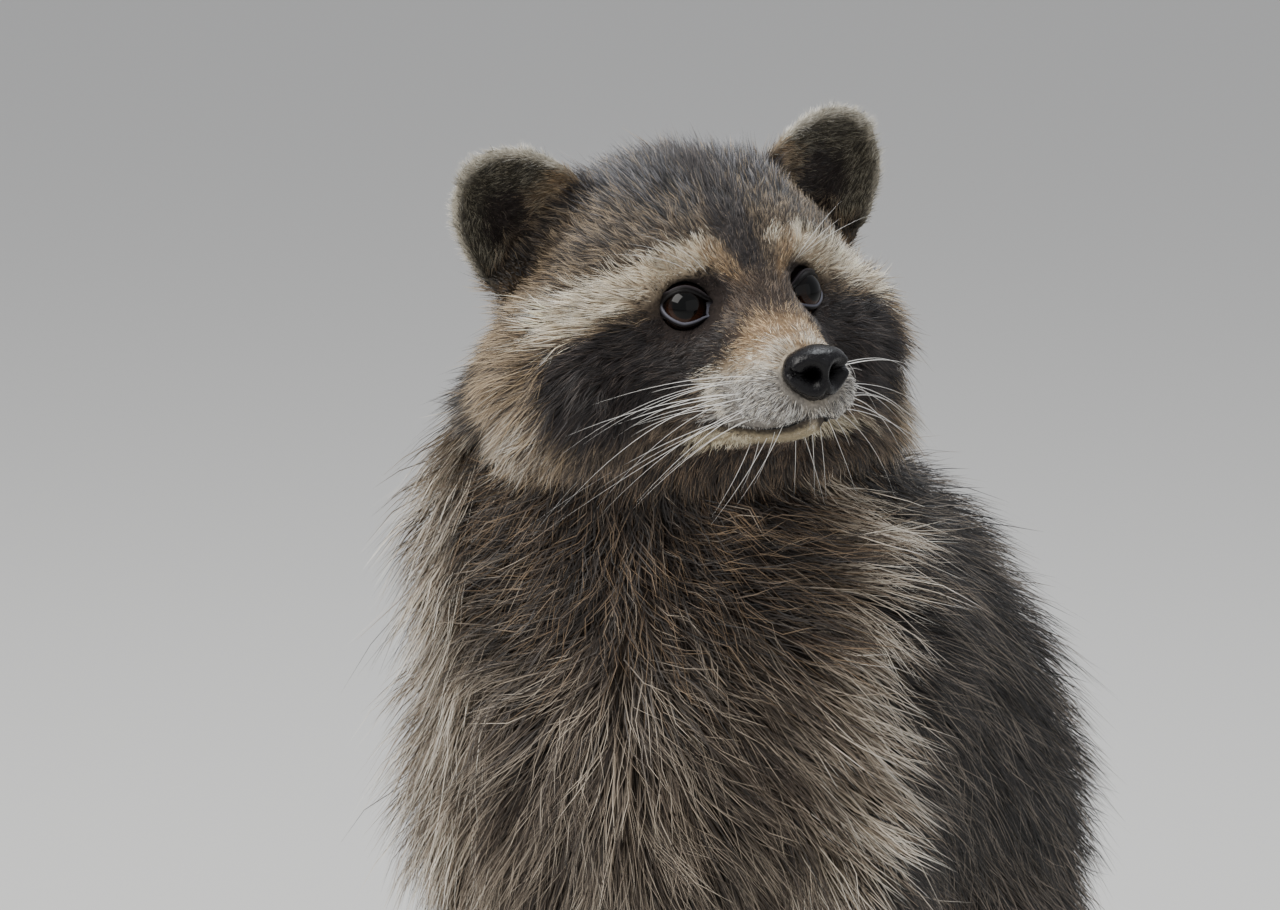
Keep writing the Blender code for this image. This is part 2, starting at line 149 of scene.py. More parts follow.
def run_along(line):
    """How far along a line each of its points is."""
    return np.concatenate(((0,), np.cumsum(np.linalg.norm(np.diff(line, axis=0), axis=1))))


def on_line(line, at, places):
    """Points of a line at the places, where at says how far along it its own points are."""
    return np.stack([np.interp(places, at, column) for column in line.T], 1)


def evened(line, rounds):
    """A line whose inner points move, in each round, halfway to the middle of their neighbours."""
    line = line.copy()
    for _ in range(rounds):
        line[1:-1] = (line[:-2] + 2 * line[1:-1] + line[2:]) / 4
    return line


# The tail is a bent line on the floor, evened out so that its direction turns smoothly.
TAIL_LINE = np.array(((0, 158, 48), (-4, 205, 37), (-20, 262, 31), (-56, 312, 30), (-108, 340, 29),
                      (-180, 338, 22)))
tail_line = evened(on_line(TAIL_LINE, np.arange(len(TAIL_LINE)), np.linspace(0, len(TAIL_LINE) - 1, 41)), 12)


def on_tail(points):
    """Distance along the tail's line, distance from it, and its direction, nearest to each point."""
    starts, runs = tail_line[:-1], np.diff(tail_line, axis=0)
    spans = np.linalg.norm(runs, axis=1)
    shares = (np.einsum("nkc,kc->nk", points[:, None] - starts, runs) / spans ** 2).clip(0, 1)
    away = np.linalg.norm(points[:, None] - starts - shares[..., None] * runs, axis=2)
    best, rows = away.argmin(1), np.arange(len(points))
    before = run_along(tail_line)
    return before[best] + shares[rows, best] * spans[best], away[rows, best], (runs / spans[:, None])[best]


def above_neck(head_points):
    """Millimetres above the sloping plane between the head and the neck."""
    return (head_points - (0, 0, -50)) @ np.array((0.32, 0, 0.947))


def coat_depth(points):
    """How deep the coat is, in millimetres: thin on muzzle, ears and paws, deep on chest, back and tail."""
    head, body = in_head(points), in_body(points)
    forward, side, up = head[:, 0], abs(head[:, 1]), head[:, 2]
    face = 5.2 - 3.7 * step(22, 64, forward)
    eye_gap = np.linalg.norm(abs(head * (0, 1, 0)) + head * (1, 0, 1) - EYE_AT, axis=1)
    face = face * (0.45 + 0.55 * step(9, 22, eye_gap)) + 4 * step(52, 68, side) * step(20, -10, up)
    ears = ear_share(head)
    face = face * (1 - ears) + 1.2 * ears
    height = body[:, 2]
    trunk = 15 + 5 * step(120, 220, height)
    legs = step(128, 95, height) * step(-30, -45, body[:, 1])
    trunk = trunk * (1 - legs) + (4 + 5 * step(40, 110, height)) * legs
    feet = step(34, 22, height) * step(75, 55, body[:, 1]) * step(-5, 5, abs(body[:, 0]))
    trunk = trunk * (1 - feet) + 1.6 * feet
    tail = step(195, 215, body[:, 1])
    trunk = trunk * (1 - tail) + 13 * tail
    floor = step(0, 14, height)
    trunk = trunk * (0.15 + 0.85 * floor)
    share = step(-14, 6, above_neck(head)) * step(-95, -70, forward)
    return trunk * (1 - share) + face * share


def arrays(mesh):
    """Vertices and triangles of a mesh as arrays."""
    mesh.calc_loop_triangles()
    points = np.empty(len(mesh.vertices) * 3)
    mesh.vertices.foreach_get("co", points)
    faces = np.empty(len(mesh.loop_triangles) * 3, np.int32)
    mesh.loop_triangles.foreach_get("vertices", faces)
    return points.reshape(-1, 3), faces.reshape(-1, 3)


def face_normals(points, faces):
    """The cross product of two sides of each triangle, which is twice its area long."""
    a, b, c = (points[faces[:, k]] for k in range(3))
    return np.cross(b - a, c - a)


def summed(places, rows, count):
    """For each of the places, counted from 0, the sum of the rows that belong to it."""
    return np.stack([np.bincount(places, column, count) for column in rows.T], 1)


def vertex_normals(points, faces):
    """The mean of the faces' normals round each point, weighted by area."""
    normals = face_normals(points, faces)
    return unit(summed(faces.ravel(), np.repeat(normals, 3, axis=0), len(points)))


def closed_cuts(nodes, spread, voxel):
    """Copies of the solids, each point moved out by spread so that the cuts close, as one voxel surface."""
    shape = bmesh.new()
    for node in nodes:
        part = bmesh.new()
        part.from_mesh(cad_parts[node].data)
        bmesh.ops.remove_doubles(part, verts=part.verts, dist=1e-6)
        part.normal_update()
        for vert in part.verts:
            vert.co += vert.normal * spread
        mesh = bpy.data.meshes.new("copy")
        part.to_mesh(mesh)
        part.free()
        shape.from_mesh(mesh)
        bpy.data.meshes.remove(mesh)
    mesh = bpy.data.meshes.new("hide")
    shape.to_mesh(mesh)
    shape.free()
    item = bpy.data.objects.new("hide", mesh)
    bpy.context.scene.collection.objects.link(item)
    remesh = item.modifiers.new("one surface", "REMESH")
    remesh.mode = "VOXEL"
    remesh.voxel_size = voxel
    bpy.context.view_layer.update()
    found = bpy.data.meshes.new_from_object(item.evaluated_get(bpy.context.evaluated_depsgraph_get()))
    bpy.data.objects.remove(item, do_unlink=True)
    bpy.data.meshes.remove(mesh)
    return found


def eased(values, edges, rounds, share=0.5):
    """Each value moves a share of the way to the mean of its neighbours', again and again."""
    values = values.copy()
    flat = values.reshape(len(values), -1)
    count = np.bincount(edges[:, 0], minlength=len(flat)).clip(1)[:, None]
    for _ in range(rounds):
        total = summed(edges[:, 0], flat[edges[:, 1]], len(flat))
        flat += share * (total / count - flat)
    return flat.reshape(values.shape)


def both_ways(faces):
    """Every edge of the triangles, once in each direction."""
    pairs = np.concatenate((faces[:, (0, 1)], faces[:, (1, 2)], faces[:, (2, 0)]))
    return np.unique(np.concatenate((pairs, pairs[:, ::-1])), axis=0)


def without_islands(points, faces):
    """Only the largest body: labels spread along the edges until each body has one label."""
    edges, label = both_ways(faces), np.arange(len(points))
    for _ in range(400):
        before = label.copy()
        np.minimum.at(label, edges[:, 0], label[edges[:, 1]])
        label = label[label]
        if (label == before).all():
            break
    keep = label == np.bincount(label).argmax()
    return points[keep], (np.cumsum(keep) - 1)[faces[keep[faces[:, 0]]]]


hide = closed_cuts(FLESH, spread=0.5 * MM, voxel=2.1 * MM)
skin_points, skin_faces = without_islands(*arrays(hide))
bpy.data.meshes.remove(hide)
skin_edges = both_ways(skin_faces)
calm = 1 - ear_share(in_head(skin_points))
fine = step(-5, 10, above_neck(in_head(skin_points)))
eased_body, eased_head, eased_ears = (eased(skin_points, skin_edges, rounds) for rounds in (26, 7, 3))
skin_points = eased_body * (1 - fine)[:, None] + eased_head * fine[:, None]
skin_points = skin_points * calm[:, None] + eased_ears * (1 - calm)[:, None]
depth = eased(coat_depth(skin_points), skin_edges, 8) * MM
SINKING_STEPS = 8
for _ in range(SINKING_STEPS):
    inward = unit(eased(vertex_normals(skin_points, skin_faces), skin_edges, 6))
    inward = inward * calm[:, None] + vertex_normals(skin_points, skin_faces) * (1 - calm)[:, None]
    skin_points = skin_points - inward * depth[:, None] / SINKING_STEPS
    softer = eased(skin_points, skin_edges, 2)
    easing = (0.12 + 0.43 * calm + 0.45 * (1 - fine) * calm)[:, None]
    skin_points = skin_points + (softer - skin_points) * easing

# Round each eye the skin lies on the eyeball as a lid does, and inside the opening it dips behind the ball.
EYE_RADIUS = 9.2 * MM
GAZE, SLIT_SLANT = unit(np.array((0.86, 0.44, 0.10))), math.radians(9)
SLIT_INNER, SLIT_OUTER = math.radians(73), math.radians(60)
SLIT_TOP, SLIT_BOTTOM = math.radians(33), math.radians(37)


def eye_axes(sign):
    """Gaze, along the slit towards the nose, and up across it, in the head's axes, for one eye."""
    cos, sin = math.cos(SLIT_SLANT), math.sin(SLIT_SLANT)
    gaze = GAZE * (1, sign, 1)
    inward = unit(np.cross((0, 0, 1), gaze)) * -sign
    over = unit(np.cross(gaze, inward)) * -sign
    return np.array((gaze, inward * cos - over * sin, over * cos + inward * sin))


def slit_edge(angle):
    """How far the lids open from the gaze, as an angle, at each angle round it: two half almonds."""
    reach = np.where(np.cos(angle) > 0, SLIT_INNER, SLIT_OUTER)
    height = np.where(np.sin(angle) > 0, SLIT_TOP, SLIT_BOTTOM)
    power = np.where(np.cos(angle) > 0, 1.40, 1.50)
    return 1 / ((abs(np.cos(angle)) / reach) ** power + (abs(np.sin(angle)) / height) ** power) ** (1 / power)


def round_eye(points, node, sign):
    """Offsets from the eye's middle turned to its axes: distance, angle from the gaze and angle round it."""
    axes = eye_axes(sign) @ head_axes
    local = (points - middle(node)) @ axes.T
    distance = np.linalg.norm(local, axis=1)
    tilt = np.arccos((local[:, 0] / distance.clip(1e-9)).clip(-1, 1))
    return distance, tilt, np.arctan2(local[:, 2], local[:, 1])


for word, sign in SIDES:
    node = "eye_" + word
    distance, tilt, angle = round_eye(skin_points, node, sign)
    inside = step(0.10, -0.06, tilt - slit_edge(angle))
    on_ball = EYE_RADIUS + 0.6 * MM - 2.9 * MM * inside
    share = step(20 * MM, 12.5 * MM, distance) * step(1.9, 1.45, tilt)
    target = middle(node) + unit(skin_points - middle(node)) * on_ball[:, None]
    skin_points = skin_points + (target - skin_points) * share[:, None]

# The mouth is a crease from corner to corner, under the nose, with the upper lip hanging a little over it.
MOUTH = ((50, -41.5), (60, -43.2), (70, -44.4), (80, -44.6), (87, -43.8), (92, -42.6))   # forward and up
MOUTH_MIDDLE, BESIDE_MIDDLE = (120, 0, -40.6), (120, 4.5, -41.6)
LIP_POINTS = 121
skin_tree = BVHTree.FromPolygons(skin_points.tolist(), skin_faces.tolist())


def on_skin(head_point, head_way):
    """Where a line from a point of the head's axes, along a way, meets the skin, in the head's axes."""
    start, way = from_head(head_point), np.asarray(head_way, float) @ head_axes
    hit = skin_tree.ray_cast(Vector(start), Vector(way))[0]
    return in_head(np.array([hit]))[0] if hit is not None else None


def half_mouth(sign):
    """Points on the skin from one corner of the mouth to beside its middle, without those that miss."""
    spots = [on_skin((forward, 60 * sign, up), (0, -sign, 0)) for forward, up in MOUTH]
    spots.append(on_skin(np.array(BESIDE_MIDDLE) * (1, sign, 1), (-1, 0, 0)))
    return [spot for spot in spots if spot is not None]


lip_path = np.array(half_mouth(-1) + [on_skin(MOUTH_MIDDLE, (-1, 0, 0))] + half_mouth(1)[::-1])
lip_runs = run_along(lip_path)
lip_path = evened(on_line(lip_path, lip_runs, np.linspace(0, lip_runs[-1], LIP_POINTS)), 14)


def off_mouth(head_points):
    """How far above the line of the lips each point is, and how far from it in all: 99 when not near."""
    above, away = np.full(len(head_points), 99.0), np.full(len(head_points), 99.0)
    forward, side, up = head_points.T
    near = np.flatnonzero((forward > 38) & (up < -32) & (abs(side) < 34))
    gaps = np.linalg.norm(head_points[near, None] - lip_path, axis=2)
    best = gaps.argmin(1)
    above[near], away[near] = up[near] - lip_path[best, 2], gaps[np.arange(len(near)), best]
    return above, away


above, away = off_mouth(in_head(skin_points))
crease = np.exp(-((above - 2.6) / 1.8) ** 2) - 1.5 * np.exp(-((above + 0.3) / 1.3) ** 2)
crease = (crease * step(7, 3, away))[:, None]
skin_points = skin_points + vertex_normals(skin_points, skin_faces) * crease * MM
skin_points[:, 2] = skin_points[:, 2].clip(0.4 * MM, None)
skin_normals = vertex_normals(skin_points, skin_faces)
skin_tree = BVHTree.FromPolygons(skin_points.tolist(), skin_faces.tolist())

# ---------------------------------------------------------------- the markings
# Both the skin and the coat take their colours from here: black mask, white brows and muzzle, a slate stripe
# on the forehead, pale cheeks and ruff, a grizzled body and a ringed tail.  Each colour has a root, a middle
# and a tip, as a banded hair has, and the darker roots also stand in as painted shade deep in the coat.  Some
# hairs take the second, darker or paler, set instead.
HAIRS = {
    # in thousandths: root, middle, tip, then the second set; and the share of hairs that take it
    "grizzle": ((30, 22, 16), (150, 112, 78), (540, 415, 265), (14, 11, 9), (22, 17, 14), (40, 31, 26), 0.56),
    # The crown's cool blue-grey tips are partly painted sheen, a cool highlight on the top of the head.
    "crown": ((22, 19, 18), (85, 79, 82), (350, 345, 365), (10, 9, 10), (15, 14, 16), (26, 25, 29), 0.66),
    "cheek": ((90, 62, 38), (300, 215, 126), (640, 500, 325),
              (30, 22, 16), (85, 62, 42), (230, 172, 115), 0.46),
    "brow": ((300, 230, 155), (800, 700, 525), (980, 930, 810),
             (70, 52, 37), (240, 180, 120), (500, 400, 280), 0.23),
    "stripe": ((10, 8, 8), (18, 15, 16), (40, 35, 38), (26, 21, 19), (80, 66, 58), (220, 185, 165), 0.20),
    "mask": ((8, 6, 6), (15, 11, 11), (32, 24, 22), (20, 14, 12), (55, 41, 34), (180, 140, 115), 0.14),
    "bridge": ((32, 23, 18), (105, 75, 53), (300, 222, 155), (14, 10, 9), (26, 19, 17), (60, 45, 38), 0.50),
    "tan": ((160, 100, 52), (480, 325, 175), (760, 600, 380),
            (50, 33, 20), (160, 104, 62), (350, 240, 145), 0.46),
    "muzzle": ((310, 262, 195), (780, 710, 585), (960, 925, 830),
               (130, 112, 92), (380, 335, 275), (680, 620, 530), 0.32),
    "fleck": ((170, 155, 138), (560, 535, 490), (880, 865, 820),
              (16, 14, 14), (40, 36, 36), (130, 122, 118), 0.52),
    "chin": ((240, 195, 120), (620, 540, 380), (860, 800, 650),
             (100, 78, 48), (300, 240, 150), (560, 470, 320), 0.30),
    "jowl": ((40, 29, 21), (110, 80, 56), (360, 270, 185), (20, 15, 12), (35, 26, 20), (70, 52, 40), 0.50),
    "throat": ((18, 12, 9), (55, 34, 21), (330, 225, 130), (12, 9, 7), (18, 13, 10), (40, 27, 19), 0.62),
    "chest": ((22, 16, 11), (85, 62, 43), (500, 415, 315), (12, 9, 7), (30, 21, 15), (95, 69, 48), 0.60),
    "locket": ((55, 41, 30), (210, 165, 118), (640, 560, 450),
               (30, 22, 16), (80, 60, 44), (200, 155, 112), 0.42),
    "ruff": ((95, 71, 50), (410, 335, 245), (900, 840, 735),
             (32, 24, 17), (115, 86, 61), (360, 287, 208), 0.36),
    "flank": ((18, 14, 11), (40, 31, 25), (320, 265, 210), (9, 7, 6), (12, 10, 9), (21, 17, 15), 0.71),
    "leg": ((70, 54, 41), (170, 134, 104), (400, 335, 270), (45, 34, 27), (80, 62, 49), (130, 102, 82), 0.45),
    "paw": ((200, 160, 120), (400, 335, 260), (600, 520, 420),
            (100, 78, 60), (180, 142, 110), (280, 225, 175), 0.35),
    "tail": ((170, 125, 85), (360, 280, 200), (600, 500, 380),
             (60, 46, 36), (100, 78, 60), (160, 125, 98), 0.25),
    "ring": ((20, 15, 12), (30, 23, 19), (50, 39, 33), (30, 22, 18), (60, 46, 37), (150, 118, 92), 0.12),
    "ear_back": ((20, 16, 14), (40, 32, 28), (80, 64, 55),
                 (60, 50, 42), (160, 135, 110), (360, 310, 260), 0.25),
    "ear_rim": ((280, 250, 195), (660, 620, 525), (900, 870, 780),
                (120, 105, 80), (360, 330, 260), (650, 610, 510), 0.22),
    "ear_hollow": ((20, 17, 13), (150, 132, 92), (560, 510, 385),
                   (6, 5, 5), (14, 12, 10), (60, 51, 38), 0.52),
}
NAMES = list(HAIRS)
PALETTE = np.array([[HAIRS[name][:3], HAIRS[name][3:6]] for name in NAMES]) / 1000
SECOND_SHARE = np.array([HAIRS[name][6] for name in NAMES])


def near_chain(points, chain):
    """Distance outside a chain of discs: each row of chain is a disc's place and its radius."""
    away = np.full(len(points), 1e9)
    for first, second in zip(chain[:-1], chain[1:]):
        run = np.array(second[:2]) - first[:2]
        share = (((points - first[:2]) @ run) / (run @ run)).clip(0, 1)
        radius = first[2] + (second[2] - first[2]) * share
        away = np.minimum(away, np.linalg.norm(points - first[:2] - share[:, None] * run, axis=1) - radius)
    return away


# Places on the side of the face: out from the mid-line, up from the eyes, and a radius, in millimetres.
BROW_BAND = ((11, 21, 3.0), (15, 18.5, 5.0), (21, 17.5, 5.5), (30, 14.5, 5.5), (39, 10, 5.5), (50, 4, 6.0),
             (58, -1, 5.5))
BROW_INNER = ((7, 8, 1.0), (11, 14, 3.0), (15, 19, 3.5))
MASK_PATCH = ((20, 3, 7.0), (26, -8, 9.5), (38, -16, 12.5), (51, -20, 13.5))
MASK_LOWER = ((24, -12, 6.0), (34, -25, 10.5), (50, -27, 13.5))
INNER_CORNER = ((15, 4, 4.5), (17, 8, 4.0), (24, 7, 4.0))
WHISKER_BED = ((13, -33, 5.0), (20, -36, 7.0))
WHITE_MUZZLE = ((6, -18, 4.0), (12, -25, 7.0), (16, -30, 8.5), (22, -38, 8.0), (27, -42, 5.0))
RING_PITCH, RING_DARK = 34.0, 15.0


def round_chest(body):
    """The angle in degrees, from 0 ahead to 180 behind, about an upright line in the middle of the chest."""
    return np.degrees(np.arctan2(abs(body[:, 0] - CHEST_SIDE), -(body[:, 1] - CHEST_BACK)))


def marking_layers(points, normals):
    """Layer after layer, the name of a hair and how surely it covers each point."""
    head, body = in_head(points), in_body(points)
    forward, side, up = head.T
    out = abs(side)
    flat = np.stack((out, up), 1)
    high = step(-6, 6, above_neck(head))
    x, y, z = body.T
    turn = round_chest(body)
    yield "flank", np.ones(len(points))
    out_to, in_to = np.where(x > CHEST_SIDE, 65, 79), np.where(x > CHEST_SIDE, 36, 27)
    front = step(0, -10, turn - out_to) * step(20, -20, y)
    yield "chest", front * 0.97
    locket = step(26, 6, abs(x - CHEST_SIDE)) * step(0.1, -0.4, normals[:, 1]) * step(290, 255, z)
    yield "locket", locket * front * 0.35
    yield "ruff", step(0, 18, turn - in_to) * front * (0.55 + 0.40 * step(110, 230, z))
    legs = step(125, 100, z) * step(-25, -40, y)
    yield "leg", legs
    yield "leg", step(0.2, -0.4, normals[:, 2]) * step(-60, -20, y) * step(170, 120, z) * 0.8
    yield "paw", step(32, 22, z) * step(88, 70, y) * step(12, 20, abs(x))
    along, away, _ = on_tail(body)
    tail = step(196, 206, y) * step(80, 60, away)
    rings = np.cos(2 * np.pi * (along - 62 - 0.5 * RING_DARK) / RING_PITCH)
    edge = math.cos(math.pi * RING_DARK / RING_PITCH)
    yield "tail", tail
    yield "ring", tail * step(edge - 0.25, edge + 0.25, rings)
    yield "ring", tail * step(8, -4, along.max() - 30 - along)
    yield ("throat", step(14, -6, above_neck(head)) * step(-80, -30, above_neck(head)) * step(52, 34, turn)
           * step(0.3, -0.2, normals[:, 1]) * 0.92)
    yield "grizzle", high
    yield "crown", high * step(28, 42, up) * step(46, 26, out) * 0.85
    yield "flank", high * step(-15, -40, forward) * 0.8
    yield "cheek", high * step(46, 60, out) * step(24, 4, up) * step(-34, -22, forward) * 0.75
    yield "cheek", high * step(33, 50, out) * step(26, 10, up) * step(-30, -10, forward) * 0.45
    yield "jowl", high * step(-28, -36, up) * step(62, 52, out) * 0.92
    yield "ruff", high * step(58, 66, out) * step(-16, -30, up) * step(-36, -20, forward) * 0.5
    yield "throat", high * step(-47, -52, up) * step(56, 40, out)
    leaning = side + 4.5 - 0.25 * (up - 28).clip(0, None)
    brow = step(3.5, -3.0, near_chain(flat, BROW_BAND)) * step(-20, 0, forward)
    yield "brow", high * brow * (0.95 - 0.20 * step(19, 12, out))
    yield "stripe", high * step(8.5, 4.5, abs(leaning)) * step(4, 12, up) * step(-30, 5, forward) * 0.93
    yield "bridge", high * step(19, 14, out) * step(14, 6, up) * step(44, 52, forward)
    yield "tan", high * step(2.0, -1.5, near_chain(flat, BROW_INNER)) * step(20, 34, forward) * 0.6
    mask = step(2.0, -2.0, near_chain(flat, MASK_PATCH))
    mask = np.maximum(mask, step(2.5, -2.5, near_chain(flat, MASK_LOWER)))
    mask = np.maximum(mask, step(1.5, -1.5, near_chain(flat, INNER_CORNER)))
    yield "mask", high * mask * step(-8, 8, forward)
    yield ("tan", high * step(0.0, 5.0, 14.5 - out - 0.62 * (up + 8)) * step(60, 66, forward)
           * step(-1, -8, up) * step(-34, -22, up) * 0.88)
    white = step(2.5, -2.5, near_chain(flat, WHITE_MUZZLE)) * step(50, 58, forward)
    white = np.maximum(white, step(74, 82, forward) * step(-24, -30, up))
    yield "brow", high * step(4.5, -1.0, near_chain(flat, WHITE_MUZZLE)) * step(50, 58, forward) * 0.55
    yield "muzzle", high * white * (0.55 + 0.45 * step(-16, -27, up))
    yield "fleck", high * step(8, 2, near_chain(flat, WHISKER_BED)) * step(58, 64, forward) * 0.85
    yield "chin", high * step(-42, -44, up) * step(30, 42, forward) * step(-50.8, -48.4, up)
    above, away = off_mouth(head)
    yield "fleck", step(0, 1, above) * step(7, 4, away) * 0.8
    # A dark band along the line of the lips: partly the black edge of the lips, partly painted shade in the
    # crease of the mouth.
    yield "mask", step(2.6, 1.2, abs(above - 0.2)) * step(5, 3.5, away) * 0.9
    yield "mask", high * step(7, 3, np.hypot(out - 38, up - 44)) * 0.85
    ears = ear_share(head)
    for _, sign in SIDES:
        facing, across, along_ear = in_ear(head, sign).T
        here = ears * (sign * side > 0)
        rim_gap = np.hypot(across / 27.5, (along_ear.clip(14, None) - 14) / 41.5)
        yield "ear_back", here
        hollow = here * step(-14, -9, facing)
        yield "ear_hollow", hollow
        # The dark middle of the hollow, low in the ear, is painted shade deep in its cup.
        yield "mask", hollow * step(1.40, 0.80, np.hypot((across - 1) / 12, (along_ear - 22) / 15)) * 0.94
        yield "cheek", hollow * step(-4, -12, across) * step(34, 24, along_ear) * 0.75
        yield "ear_rim", here * step(0.84, 0.95, rim_gap) * step(8, 20, along_ear) * 0.95
        yield "tan", here * step(-16, -21, across) * step(32, 24, along_ear) * 0.6


def colours_of(points, normals, chance, second):
    """Root, middle and tip colours of one hair at each point.  chance picks the layer, second the set."""
    kind = np.zeros(len(points), int)
    for name, cover in marking_layers(points, normals):
        kind[chance < cover] = NAMES.index(name)
    other = (second < SECOND_SHARE[kind]).astype(int)
    return PALETTE[kind, other]


def skin_colours(points, normals):
    """The skin's colour: the layers blended, darkened as the roots of the hair are, partly as painted shade
    between the hairs.
    """
    tone = PALETTE[:, 0, 0] * 0.55 + PALETTE[:, 1, 1] * 0.30 + PALETTE[:, 0, 1] * 0.15
    mixed = np.zeros((len(points), 3))
    for name, cover in marking_layers(points, normals):
        mixed += (tone[NAMES.index(name)] - mixed) * cover[:, None]
    return mixed


def new_finish(name, roughness, specular=0.5):
    """A material with nodes, and its shader with the roughness and specular level given."""
    material = bpy.data.materials.new(name)
    material.use_nodes = True
    shader = material.node_tree.nodes["Principled BSDF"]
    shader.inputs["Roughness"].default_value = roughness
    shader.inputs["Specular IOR Level"].default_value = specular
    return material, shader


def link(source, output, target, socket):
    """A link from one node's output to another's input."""
    source.id_data.links.new(source.outputs[output], target.inputs[socket])


def beside(shader, kind, **values):
    """A new node by the shader.  A value named in_from_max sets the socket From Max, any other a property."""
    item = shader.id_data.nodes.new(kind)
    for key, value in values.items():
        if key.startswith("in_"):
            item.inputs[key[3:].replace("_", " ").title()].default_value = value
        else:
            setattr(item, key, value)
    return item


def tinted(shader):
    """The shader takes the colour that is stored at each point."""
    tint = beside(shader, "ShaderNodeAttribute", attribute_name="tint")
    link(tint, "Color", shader, "Base Color")
    return tint


def noise_bump(shader, scale, depth_mm, detail=4.0):
    """Fine relief from a noise at a scale in cycles a metre, with its depth in millimetres."""
    place = beside(shader, "ShaderNodeTexCoord")
    noise = beside(shader, "ShaderNodeTexNoise", in_scale=scale, in_detail=detail)
    bump = beside(shader, "ShaderNodeBump", in_strength=1.0, in_distance=depth_mm * MM)
    link(place, "Object", noise, "Vector")
    link(noise, "Fac", bump, "Height")
    link(bump, "Normal", shader, "Normal")
    return noise


def mesh_object(name, points, faces, material, colours=None):
    """A piece from arrays of points and of triangles or quads, with an optional colour at each point."""
    mesh = bpy.data.meshes.new(name)
    faces = np.asarray(faces, np.int32)
    mesh.vertices.add(len(points))
    mesh.vertices.foreach_set("co", np.asarray(points, np.float32).ravel())
    mesh.loops.add(faces.size)
    mesh.loops.foreach_set("vertex_index", faces.ravel())
    mesh.polygons.add(len(faces))
    mesh.polygons.foreach_set("loop_start", np.arange(0, faces.size, faces.shape[1], dtype=np.int32))
    mesh.polygons.foreach_set("use_smooth", np.ones(len(faces), bool))
    if colours is not None:
        tint = mesh.color_attributes.new("tint", "FLOAT_COLOR", "POINT")
        opaque = np.column_stack((colours, np.ones(len(points)))).astype(np.float32)
        tint.data.foreach_set("color", opaque.ravel())
    mesh.update(calc_edges=True)
    mesh.validate()
    mesh.materials.append(material)
    item = bpy.data.objects.new(name, mesh)
    bpy.context.scene.collection.objects.link(item)
    return item


skin_finish, shader = new_finish("skin_finish", 0.85, 0.2)
tint = tinted(shader)
noise = noise_bump(shader, 900, 0.6)
ramp = beside(shader, "ShaderNodeMapRange", in_from_min=0.3, in_from_max=0.7, in_to_min=0.70, in_to_max=1.25)
shade = beside(shader, "ShaderNodeVectorMath", operation="SCALE")
link(noise, "Fac", ramp, "Value")
link(tint, "Color", shade, 0)
link(ramp, "Result", shade, "Scale")
link(shade, "Vector", shader, "Base Color")

skin = mesh_object("skin", skin_points, skin_faces, skin_finish, skin_colours(skin_points, skin_normals))
under_coat = skin.vertex_groups.new(name="under_coat")
under_coat.add(np.flatnonzero(fine < 0.5).tolist(), 1.0, "REPLACE")
thinner = skin.modifiers.new("thinner under the coat", "DECIMATE")
thinner.vertex_group = "under_coat"
thinner.ratio = 0.55
bpy.context.view_layer.update()
thick = skin.data
skin.data = bpy.data.meshes.new_from_object(skin.evaluated_get(bpy.context.evaluated_depsgraph_get()))
skin.modifiers.clear()
bpy.data.meshes.remove(thick)
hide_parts(*FLESH)
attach(skin, "root")

# ---------------------------------------------------------------- the eyes
# Each eye is a polished ball with a bulging cornea, nearly black: a dark brown iris round a black pupil.
# It sits in the socket of the solid, and the lids hold it.
PUPIL, IRIS = math.radians(29), math.radians(54)
IRIS_TINT, BALL_TINT, CORNER_TINT = (0.034, 0.012, 0.005), (0.008, 0.005, 0.004), (0.150, 0.140, 0.165)


def ball_grid(rows, columns, pole):
    """Angles over a ball: tilt down the rows, from near one pole to the other, and spin along the columns."""
    tilt, spin = np.meshgrid(np.linspace(pole, math.pi - pole, rows),
                             np.linspace(0, 2 * math.pi, columns, endpoint=False), indexing="ij")
    return tilt.ravel(), spin.ravel()


def ball_way(tilt, spin):
    """The way that leans by tilt from the first axis and is turned by spin from the second to the third."""
    return np.stack((np.cos(tilt), np.sin(tilt) * np.cos(spin), np.sin(tilt) * np.sin(spin)), -1)


def grid_faces(rows, columns):
    """Two triangles for each gap of a grid of rows by columns that is joined round."""
    i, j = np.meshgrid(np.arange(rows - 1), np.arange(columns), indexing="ij")
    a, b = i * columns + j, i * columns + (j + 1) % columns
    c, d = b + columns, a + columns
    return np.concatenate((np.stack((a, b, c), -1).reshape(-1, 3), np.stack((a, c, d), -1).reshape(-1, 3)))


def outward(points, faces):
    """The faces, turned over if the volume that they close, summed from the middle, comes out negative."""
    volume = ((points[faces[:, 0]] - points.mean(0)) * face_normals(points, faces)).sum()
    return faces if volume > 0 else faces[:, ::-1]


eye_finish, shader = new_finish("eye_finish", 0.20, 0.0)
tinted(shader)
shader.inputs["Coat Weight"].default_value = 1.0
shader.inputs["Coat IOR"].default_value = 1.28
shader.inputs["Coat Roughness"].default_value = 0.02

BALL_ROWS, BALL_COLUMNS = 90, 96
tilt, spin = ball_grid(BALL_ROWS, BALL_COLUMNS, 0.002)
streak = 0.5 + 0.25 * np.sin(spin * 37 + 2 * np.sin(spin * 5)) + 0.25 * np.sin(spin * 61 + tilt * 9)
